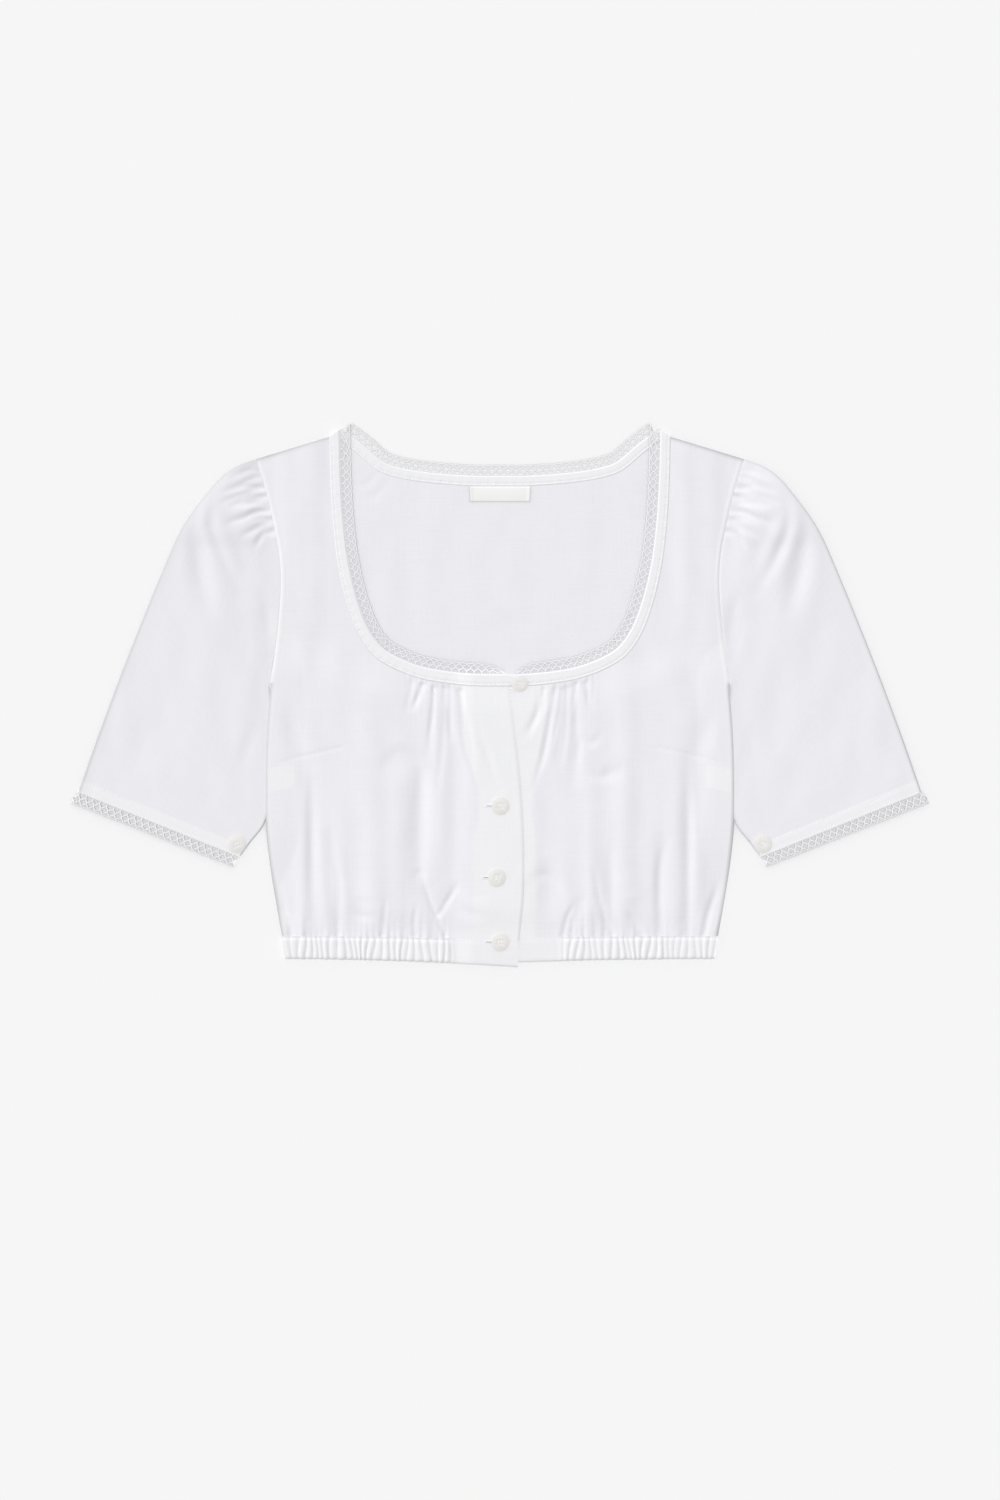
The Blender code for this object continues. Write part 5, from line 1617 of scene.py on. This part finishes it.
@dataclass
class HemCasing:
    """One stretch of the elastic casing, ridged by its gathers."""

    name: str
    start: float
    stop: float
    side: Optional[Side]
    across: int = 16

    def section(self, x: Array, v: Array) -> tuple[Array, Array]:
        """Places of stations x and shares v from the hem up."""
        upper = self.side is not Side.LEFT
        if self.side is None:
            low, high = np.full_like(x, CASING.hem_y), np.full_like(x, CASING.top_y)
        else:
            low, high = CASING.hem_y - CASING.drop(x, upper), CASING.top(x, upper)
        true = x * (self.side.value if self.side else 1)
        low = low + 0.5 * CASING.gathered(true) * (0.75 - CASING.crest(true))
        inward = (CASING.half_width - CASING.hem_half_width) * (1 - v)
        left = smooth((-x - CASING.half_width + 24.0) / 24.0)
        right = smooth((x - CASING.half_width + 24.0) / 24.0)
        lean = 0.8 * np.sin(x * 0.21) * (1 - v) * CASING.gathered(true) * (np.abs(x) < 150)
        return x + inward * (left - right) + lean, between(v, low, high)

    def make(self, bench: Bench, seams: Stitches) -> Any:
        """The casing as a finished piece, with the stitches along its top."""
        count = round((self.stop - self.start) / 0.5)
        x = np.linspace(self.start, self.stop, count + 1)[:, None]
        turn = self.side.value if self.side else 1
        upper = self.side is Side.RIGHT
        true = x * turn
        v = np.concatenate([[0.0, 0.03, 0.09, 0.18], np.linspace(0.28, 0.86, 7),
                            [0.91, 0.94, 0.97, 1.0]])[None, :]
        place_x, place_y = self.section(x, v)
        gathered = CASING.gathered(true)
        puckers = between(smooth((v - 0.86) / 0.08), 1.0, 0.72) * rounded(v / 0.12)
        stitched = np.exp(-((v - 0.93) / 0.035) ** 2)
        span = rounded(np.minimum(v * 17.5 + 0.15, (1 - v) * 17.5 + 0.9) / 1.4)
        if self.side is None:
            floor = 0.05 + 0.5 * gathered * (1.05 - CASING.crest(true)) * rounded(v / 0.2)
            top = np.full_like(place_x, CASING.back) * span
            body = np.maximum(top, floor + 0.6)
        else:
            step = DRAPE.lap(x, CASING.plain) if upper else 0.0
            plain = 1 - smooth((np.abs(x) - 30.0) / 14.0)
            level = between(plain, CASING.front, CASING.plain) + 0.25 * gathered
            floor = CASING.back + LAYERS.gap + step + 0.0 * v
            slip = true + 1.6 * np.sin(true / 11.0) * (v - 0.5) + 0.7 * np.sin(true / 4.1 + 3.0 * v)
            ridge = CASING.ridge(slip) * puckers * between(v, 1.1, 0.95)
            ridge = ridge * between(np.abs(np.sin(true / 3.3 + 4.0 * v)), 1.0, 0.72)
            body = floor + level * span + ridge * span - 0.35 * stitched * (0.4 + gathered)
        ends = np.concatenate([place_x[..., None], place_y[..., None], body[..., None]], -1)
        low_v = np.array([0.05, 0.35, 0.65, 0.95])[None, :]
        low_x, low_y = self.section(x, low_v)
        low_z = floor[:, :1] * np.ones_like(low_x)
        under = np.concatenate([low_x[..., None], low_y[..., None], low_z[..., None]], -1)
        ring = np.concatenate([ends, under[:, ::-1]], axis=1)
        run = x * 1.5 * np.ones_like(place_x)
        flat = np.stack([run, v * 17.5 * np.ones_like(run)], -1)
        low_flat = np.stack([x * 1.5 * np.ones_like(low_x),
                             (38.0 - low_v * 17.5) * np.ones_like(low_x)], -1)[:, ::-1]
        around = np.concatenate([flat, low_flat, flat[:, :1] + (0.0, 40.0)], axis=1)
        grid = Grid(placed(ring[..., 0], ring[..., 1], ring[..., 2], turn), around,
                    np.full(ring.shape[:2], 0.25), closed=True)
        mesh = bench.mesh(self.name, grid)
        bench.close_ends(mesh)
        piece = bench.add("cloth_" + self.name, mesh, Slot.DOUBLED, [self.name])
        if self.side is not None:
            column = 12
            seams.run(placed(place_x[:, column], place_y[:, column], body[:, column] + 0.05, turn)[2:-2],
                      2.6)
        return piece


@dataclass
class SleeveEdge:
    """The lace round a sleeve's hem and its stitches."""

    side: Side
    width_outer: float = 9.9
    width_inner: float = 8.9
    top: float = 1.95
    low: float = 0.15

    def make(self, bench: Bench, seams: Stitches) -> Any:
        """The lace as one strip, over the top, round the outer fold and back below."""
        one, two = np.array(SLEEVE_OUTER[-1]), np.array(SLEEVE_INNER[-1])
        span = float(np.linalg.norm(two - one))
        way = (two - one) / span
        down = np.array([way[1], -way[0]])
        trim = LaceTrim("sleeve_lace_" + self.side.word, pitch=5.65, rows=(0.0, 3.75, 7.45, 9.2),
                        strand=0.74, scallop=0.35, cord=0.55, zig=1.35, inner=0.0, wall=0.5)
        arc = 3.0
        whole = 2 * span + arc
        turn = self.side.value

        def spot(share: Array, out: Array, lift: Array) -> Array:
            """Points of the lace."""
            run = share * whole
            over = run < span
            back = run > span + arc
            bend = np.clip((run - span) / arc, 0, 1)
            along = np.where(over, 1 - run / span, np.where(back, (run - span - arc) / span, 0.0))
            bulge = np.sin(math.pi * bend) * 0.8
            width = between(along, self.width_outer, self.width_inner)
            depth = out * width / 9.9
            splay = between(along, -1.6, -1.8) * np.clip(depth, 0, None) / 9.9
            place = one + np.outer(along * span, way) + depth[:, None] * down
            place = place + (splay - bulge)[:, None] * way
            mid = between(0.5 - 0.5 * np.cos(math.pi * bend), self.top, self.low + 0.35)
            base = np.where(over, self.top, np.where(back, self.low + 0.35, mid))
            flip = np.where(back, -0.6, np.cos(math.pi * bend))
            return placed(place[:, 0], place[:, 1], base + lift * flip, turn)

        piece = trim.make(bench, round(whole / trim.pitch), spot,
                          ["sleeve_lace_" + self.side.word], (self.top - 0.3) * MM)
        sleeve = Sleeve(self.side)
        share = np.linspace(0.03, 0.9, 200)
        line = one + np.outer(share * span, way) - 8.3 * down
        z = sleeve.height(line[:, 0], line[:, 1])
        seams.run(placed(line[:, 0], line[:, 1], z, turn))
        edge = one + np.outer(np.linspace(0.02, 0.97, 200) * span, way) - 0.9 * down
        z = sleeve.height(edge[:, 0], edge[:, 1])
        seams.run(placed(edge[:, 0], edge[:, 1], z, turn), 2.4)
        return piece


@dataclass
class Buttons:
    """Four-hole buttons with a rolled rim, modelled once and copied to their places."""

    size: float = 14.0
    height: float = 2.6
    hole: float = 1.05
    spread: float = 1.5
    steps: int = 48
    turns: dict[str, float] = field(default_factory=lambda: {
        "button_neck": 0.0, "button_front_top": 4.0, "button_front_middle": 90.0,
        "button_front_hem": 3.0, "button_sleeve_right": 30.0, "button_sleeve_left": -20.0})

    @staticmethod
    def pick(test: Callable[[Any], bool]) -> None:
        """Select only the faces that pass a test, in edit mode."""
        bpy.ops.mesh.select_all(action="DESELECT")
        bm = bmesh.from_edit_mesh(bpy.context.edit_object.data)
        for face in bm.faces:
            face.select_set(test(face))
        bm.select_flush_mode()
        bmesh.update_edit_mesh(bpy.context.edit_object.data)

    def body(self, bench: Bench) -> bpy.types.Mesh:
        """The button's own mesh, at its size, on the floor round the origin."""
        radius = self.size / 2 * MM
        bpy.ops.object.select_all(action="DESELECT")
        bpy.ops.mesh.primitive_cylinder_add(vertices=self.steps, radius=radius * 0.96,
                                            depth=self.height * MM * 0.62,
                                            location=(0, 0, self.height * MM * 0.5))
        disc = bpy.context.active_object
        bpy.ops.object.mode_set(mode="EDIT")
        self.pick(lambda face: face.normal.z > 0.9)
        bpy.ops.mesh.inset(thickness=radius * 0.08, depth=0.42 * MM)
        bpy.ops.mesh.inset(thickness=radius * 0.09, depth=0.10 * MM)
        bpy.ops.mesh.inset(thickness=radius * 0.10, depth=-0.10 * MM)
        bpy.ops.mesh.inset(thickness=radius * 0.10, depth=-0.60 * MM)
        bpy.ops.mesh.inset(thickness=radius * 0.08, depth=-0.12 * MM)
        self.pick(lambda face: face.normal.z < -0.9)
        bpy.ops.mesh.inset(thickness=radius * 0.12, depth=0.25 * MM)
        bpy.ops.mesh.inset(thickness=radius * 0.16, depth=0.25 * MM)
        bpy.ops.mesh.select_all(action="SELECT")
        bpy.ops.mesh.normals_make_consistent(inside=False)
        bpy.ops.object.mode_set(mode="OBJECT")
        cutters = []
        for turn in range(4):
            angle = math.radians(45 + 90 * turn)
            spot = (self.spread * math.cos(angle) * MM, self.spread * math.sin(angle) * MM, 0.002)
            bpy.ops.mesh.primitive_cylinder_add(vertices=16, radius=self.hole / 2 * MM, depth=0.01,
                                                location=spot)
            cutters.append(bpy.context.active_object)
        bpy.ops.object.select_all(action="DESELECT")
        for cutter in cutters:
            cutter.select_set(True)
        bpy.context.view_layer.objects.active = cutters[0]
        bpy.ops.object.join()
        cutter = bpy.context.active_object
        drill = disc.modifiers.new("holes", "BOOLEAN")
        drill.operation = "DIFFERENCE"
        drill.solver = "EXACT"
        drill.object = cutter
        bench.apply(disc, drill)
        bpy.data.objects.remove(cutter)
        soften = disc.modifiers.new("softened", "BEVEL")
        soften.width = 0.12 * MM
        soften.segments = 2
        soften.limit_method = "ANGLE"
        soften.angle_limit = math.radians(40)
        bench.apply(disc, soften)
        bpy.ops.object.select_all(action="DESELECT")
        disc.select_set(True)
        bpy.context.view_layer.objects.active = disc
        bpy.ops.object.shade_smooth_by_angle(angle=math.radians(35))
        mesh = disc.data.copy()
        bpy.data.objects.remove(disc)
        spots = np.array([vert.co for vert in mesh.vertices]) / MM
        away = np.hypot(spots[:, 0], spots[:, 1])
        # Painted shade round the rim and in the thread holes, kept in the shade attribute.
        rim = np.exp(-((away - self.size / 2) / 0.45) ** 2)
        well = smooth((1.2 - np.hypot(*(np.abs(spots[:, :2]) - 1.1).T)) / 0.7) * (spots[:, 2] < 1.3)
        layer = mesh.attributes.new("shade", "FLOAT", "POINT")
        layer.data.foreach_set("value", np.clip(0.6 * rim + 0.28 * well, 0, 1).astype(np.float32))
        return mesh

    def thread(self, name: str, place: Matrix, bench: Bench, scale: float) -> Any:
        """Two bars of thread through the holes, three strands each."""
        bars = Stitches(name, lift=0.0)
        reach = self.spread * math.sin(math.radians(45))
        for side in (-1, 1):
            for strand in (-1, 0, 1):
                x = side * reach + strand * 0.33
                ends = [place @ Matrix.Translation(((x + 0.1 * strand * end) * scale * MM,
                                                    end * (reach + 0.45) * scale * MM,
                                                    (1.75 - 0.12 * abs(strand)) * MM))
                        for end in (-1, 1)]
                one, two = (np.array(end.translation) for end in ends)
                bars.bar(one, two, 0.42)
        return bars.make(bench)

    def make(self, bench: Bench) -> list[Any]:
        """All buttons, each over its own node, and their threads."""
        master = self.body(bench)
        pieces = []
        for node, degrees in self.turns.items():
            low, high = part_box(node)
            scale = (high.x - low.x) / (self.size * MM)
            place = Matrix.Translation(((low.x + high.x) / 2, (low.y + high.y) / 2, low.z))
            turned = place @ Matrix.Rotation(math.radians(degrees), 4, "Z")
            mesh = master.copy()
            mesh.transform(turned @ Matrix.Diagonal((scale, scale, 1.0, 1.0)))
            pieces.append(bench.add("sewn_" + node, mesh, Slot.BUTTON, [node]))
            pieces.append(self.thread("thread_" + node, turned, bench, scale))
        return pieces


@dataclass
class Buttonholes:
    """Worked holes in the right front, half hidden by their buttons."""

    length: float = 15.0
    width: float = 1.1
    nodes: tuple[str, ...] = ("button_front_top", "button_front_middle", "button_front_hem")

    def surface(self, x: Array, y: Array) -> Array:
        """Top of the right front or of its casing."""
        casing = CASING.back + LAYERS.gap + CASING.plain + DRAPE.lap(x, CASING.plain)
        return np.where(y < CASING.top(x, True), casing, DRAPE.front(x, y, True))

    def make(self, bench: Bench) -> list[Any]:
        """Edges of close stitches, with a dark strip of painted shadow in the slit between them."""
        edges = Stitches("thread_buttonholes", width=0.5, lift=0.05)
        slits = []
        for node in self.nodes:
            low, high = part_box(node)
            x0 = (low.x + high.x) / 2 / MM - 11.4
            y0 = (low.y + high.y) / 2 / MM + CENTRE_Y
            run = np.arange(0.4, self.length, 0.42)
            for x in x0 + run:
                for side in (-1, 1):
                    y = y0 + side * np.array([0.22, 0.22 + self.width])
                    z = self.surface(np.array([x, x]), y) + np.array([0.12, 0.02])
                    ends = placed(np.array([x, x]), y, z)
                    edges.bar(ends[0], ends[1], 0.5)
            tack = np.array([-1.0, 1.0]) * (self.width + 0.25)
            for x in (x0 - 0.1, x0 + 0.3):
                at = np.array([x, x])
                ends = placed(at, y0 + tack, self.surface(at, y0 + tack) + 0.15)
                edges.bar(ends[0], ends[1], 0.5)
            slits.append((x0, y0))
        # Thin dark strips of painted shadow stand in the slits.
        mesh = bpy.data.meshes.new("slits")
        points, faces = [], []
        for x0, y0 in slits:
            run = np.linspace(x0 + 0.6, x0 + self.length - 0.6, 12)
            half = 0.24 * np.sin(np.linspace(0, math.pi, 12)) ** 0.4 + 0.02
            base = len(points)
            for sign in (-1, 1):
                z = self.surface(run, np.full_like(run, y0)) + 0.06
                points.extend(placed(run, y0 + sign * half, z).tolist())
            faces.extend([[base + i, base + i + 1, base + 13 + i, base + 12 + i] for i in range(11)])
        mesh.from_pydata(points, [], faces)
        piece = bench.add("painted_shadow_buttonholes", mesh, Slot.THREAD)
        piece.data.materials.clear()
        piece.data.materials.append(bench.wardrobe.slit)
        bench.thicken(piece, 0.05)
        return [edges.make(bench), piece]


@dataclass
class ThreadLoop:
    """The worked loop on the end of the right band that holds the neck button."""

    thickness: float = 0.42

    def make(self, bench: Bench) -> Any:
        """The loop as a wound cord."""
        low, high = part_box("thread_loop")
        level = (low.z + high.z) / 2 / MM
        route = [(4.8, 7.9), (6.6, 7.7), (9.0, 7.9), (12.0, 8.9), (14.6, 9.0), (16.2, 8.4),
                 (16.6, 7.4), (16.2, 6.4), (14.6, 5.8), (12.0, 5.2), (9.4, 4.0), (7.6, 3.6),
                 (6.2, 3.9)]
        line = Line(route)
        steps = np.linspace(0, 1, round(line.length / 0.3))
        curve = bpy.data.curves.new("loop", "CURVE")
        curve.dimensions = "3D"
        curve.bevel_depth = self.thickness * MM
        curve.bevel_resolution = 2
        curve.use_fill_caps = True
        spline = curve.splines.new("POLY")
        spots = line.at(steps)
        points = placed(spots[:, 0], spots[:, 1], level - 0.35 * smooth((7.0 - spots[:, 0]) / 2.0))
        spline.points.add(len(points) - 1)
        for index, (point, spot) in enumerate(zip(spline.points, points)):
            point.co = (*spot, 1.0)
            point.radius = 1.0 if index % 2 else 0.82
        holder = bpy.data.objects.new("loop", curve)
        bpy.context.scene.collection.objects.link(holder)
        bpy.context.view_layer.update()
        mesh = bpy.data.meshes.new_from_object(
            holder.evaluated_get(bpy.context.evaluated_depsgraph_get()))
        bpy.data.objects.remove(holder)
        share = mesh.attributes.new("doubled", "FLOAT", "POINT")
        share.data.foreach_set("value", np.ones(len(mesh.vertices), np.float32))
        mesh.shade_smooth()
        return bench.add("cord_thread_loop", mesh, Slot.THREAD, ["thread_loop"])


@dataclass
class Label:
    """The blank woven label below the back neck band."""

    width: float = 46.0
    height: float = 11.6
    y: float = 150.0
    flat: tuple[float, float] = (0.046, 0.0116)

    def make(self, bench: Bench) -> list[Any]:
        """The label with its folded ends, and the stitches that hold it."""
        u, v = np.meshgrid(np.linspace(-1, 1, 70), np.linspace(-1, 1, 20))
        x, y = u * self.width / 2, self.y + v * self.height / 2
        ends = smooth((np.abs(u) - 0.90) / 0.015)
        bow = 0.28 * (1 - v ** 2) * (1 - u ** 4) + 0.10 * np.sin(u * 5.0 + 1.0) * (v < 0) * v ** 2
        z = 1.75 + bow + 0.22 * ends - 0.35 * smooth((v - 0.85) / 0.15)
        x = x + 0.25 * np.sin(v * 2.2) * (np.abs(u) > 0.8) * u
        # Painted shade along the label's edges.
        rim = np.minimum((1 - np.abs(u)) * self.width / 2, (1 + v) * self.height / 2)
        grid = Grid(placed(x, y, z), np.stack([x, y], -1), np.zeros(x.shape),
                    shade=np.exp(-(rim / 0.55) ** 2))
        piece = bench.add("woven_label", bench.mesh("label", grid), Slot.LABEL, ["label"])
        bench.thicken(piece, 0.4)
        tacks = Stitches("thread_label", width=0.4, lift=0.05)
        for side in (-1, 1):
            run = np.linspace(self.y - self.height / 2 + 0.8, self.y + self.height / 2 - 0.8, 12)
            at = np.full_like(run, side * (self.width / 2 - 1.3))
            tacks.run(placed(at, run, np.full_like(run, 2.08)), 1.9)
        return [piece, tacks.make(bench)]


@dataclass
class Studio:
    """Plain pale floor, soft light and the camera straight above."""

    lens: float = 85.0
    frame_height: float = 1.125
    middle_y: float = -0.04085
    floor_size: float = 30.0
    floor_colour: Colour = (0.925, 0.925, 0.925)
    sky: float = 0.70
    sun: float = 1.9
    sun_tilt: tuple[float, float] = (64.0, 50.0)

    def make(self) -> None:
        """Set up camera, light and floor."""
        scene = bpy.context.scene
        scene.view_settings.view_transform = "Standard"
        camera = bpy.data.cameras.new("camera")
        camera.lens = self.lens
        camera.sensor_width = 36.0
        holder = bpy.data.objects.new("camera", camera)
        distance = self.frame_height * self.lens / camera.sensor_width
        holder.location = (0.0, self.middle_y, distance + 0.003)
        scene.collection.objects.link(holder)
        scene.camera = holder
        world = bpy.data.worlds.new("studio")
        world.use_nodes = True
        world.node_tree.nodes["Background"].inputs["Color"].default_value = (1.0, 1.0, 1.0, 1.0)
        world.node_tree.nodes["Background"].inputs["Strength"].default_value = self.sky
        scene.world = world
        sun = bpy.data.lights.new("key", "SUN")
        sun.energy = self.sun
        sun.angle = math.radians(30.0)
        sun.use_shadow = False
        lamp = bpy.data.objects.new("key", sun)
        tilt, turn = (math.radians(angle) for angle in self.sun_tilt)
        lamp.rotation_euler = (-tilt * math.cos(turn), -tilt * math.sin(turn), 0.0)
        scene.collection.objects.link(lamp)
        bpy.ops.object.select_all(action="DESELECT")
        bpy.ops.mesh.primitive_plane_add(size=self.floor_size, location=(0.0, 0.0, -0.0003))
        floor = bpy.context.active_object
        floor.name = "floor"
        graph = Graph("floor", Roughness=0.95, Specular_IOR_Level=0.0)
        place = graph.node("ShaderNodeTexCoord", {}, {}, "Object")
        grey = graph.noise(place, 3.0, 1.0)
        shade = tuple(part * 0.998 for part in self.floor_colour)
        floor.data.materials.append(graph.finish(graph.blend(grey, self.floor_colour, shade), grey, 0.001))


class Blouse:
    """The whole garment."""

    def __init__(self) -> None:
        """Set up the bench and the runs of stitches."""
        self.bench = Bench()
        self.neck_seam = Stitches("thread_neck")
        self.hem_seam = Stitches("thread_hem")
        self.cuff_seams = {side: Stitches("thread_cuff_" + side.word, width=0.45) for side in Side}

    def report(self, pieces: Sequence[Any]) -> None:
        """Log each piece with its size."""
        for piece in pieces:
            LOG.info("%s: %d faces", piece.name, len(piece.data.polygons))

    def make(self) -> None:
        """Build and dress every piece, and log their sizes."""
        bench = self.bench
        fronts = {side: FrontPanel(side) for side in Side}
        front_pieces = {side: panel.make(bench) for side, panel in fronts.items()}
        back = BackPanel()
        back_piece = back.make(bench)
        trims = NeckLine().make(bench, self.neck_seam)
        casings = [HemCasing("hem_casing_right", -CASING.half_width, CASING.corner[0], Side.RIGHT),
                   HemCasing("hem_casing_left", -CASING.half_width, CASING.underlap, Side.LEFT),
                   HemCasing("hem_casing_back", -CASING.half_width, CASING.half_width, None)]
        casing_pieces = [casing.make(bench, self.hem_seam) for casing in casings]
        for side in Side:
            sleeve = Sleeve(side)
            piece = sleeve.make(bench)
            lace = SleeveEdge(side).make(bench, self.cuff_seams[side])
            seam = self.cuff_seams[side].make(bench)
            self.report([piece, lace, seam])
        label = Label().make(bench)
        buttons = Buttons().make(bench)
        holes = Buttonholes().make(bench)
        loop = ThreadLoop().make(bench)
        neck, hem = self.neck_seam.make(bench), self.hem_seam.make(bench)
        self.report([*front_pieces.values(), back_piece, *trims, *casing_pieces, *label, *buttons,
                     *holes, loop, neck, hem])


def main() -> None:
    """Set up the studio, build the garment and note its size."""
    logging.basicConfig(level=logging.INFO, format="%(message)s")
    Studio().make()
    Blouse().make()


if __name__ == "__main__":
    main()
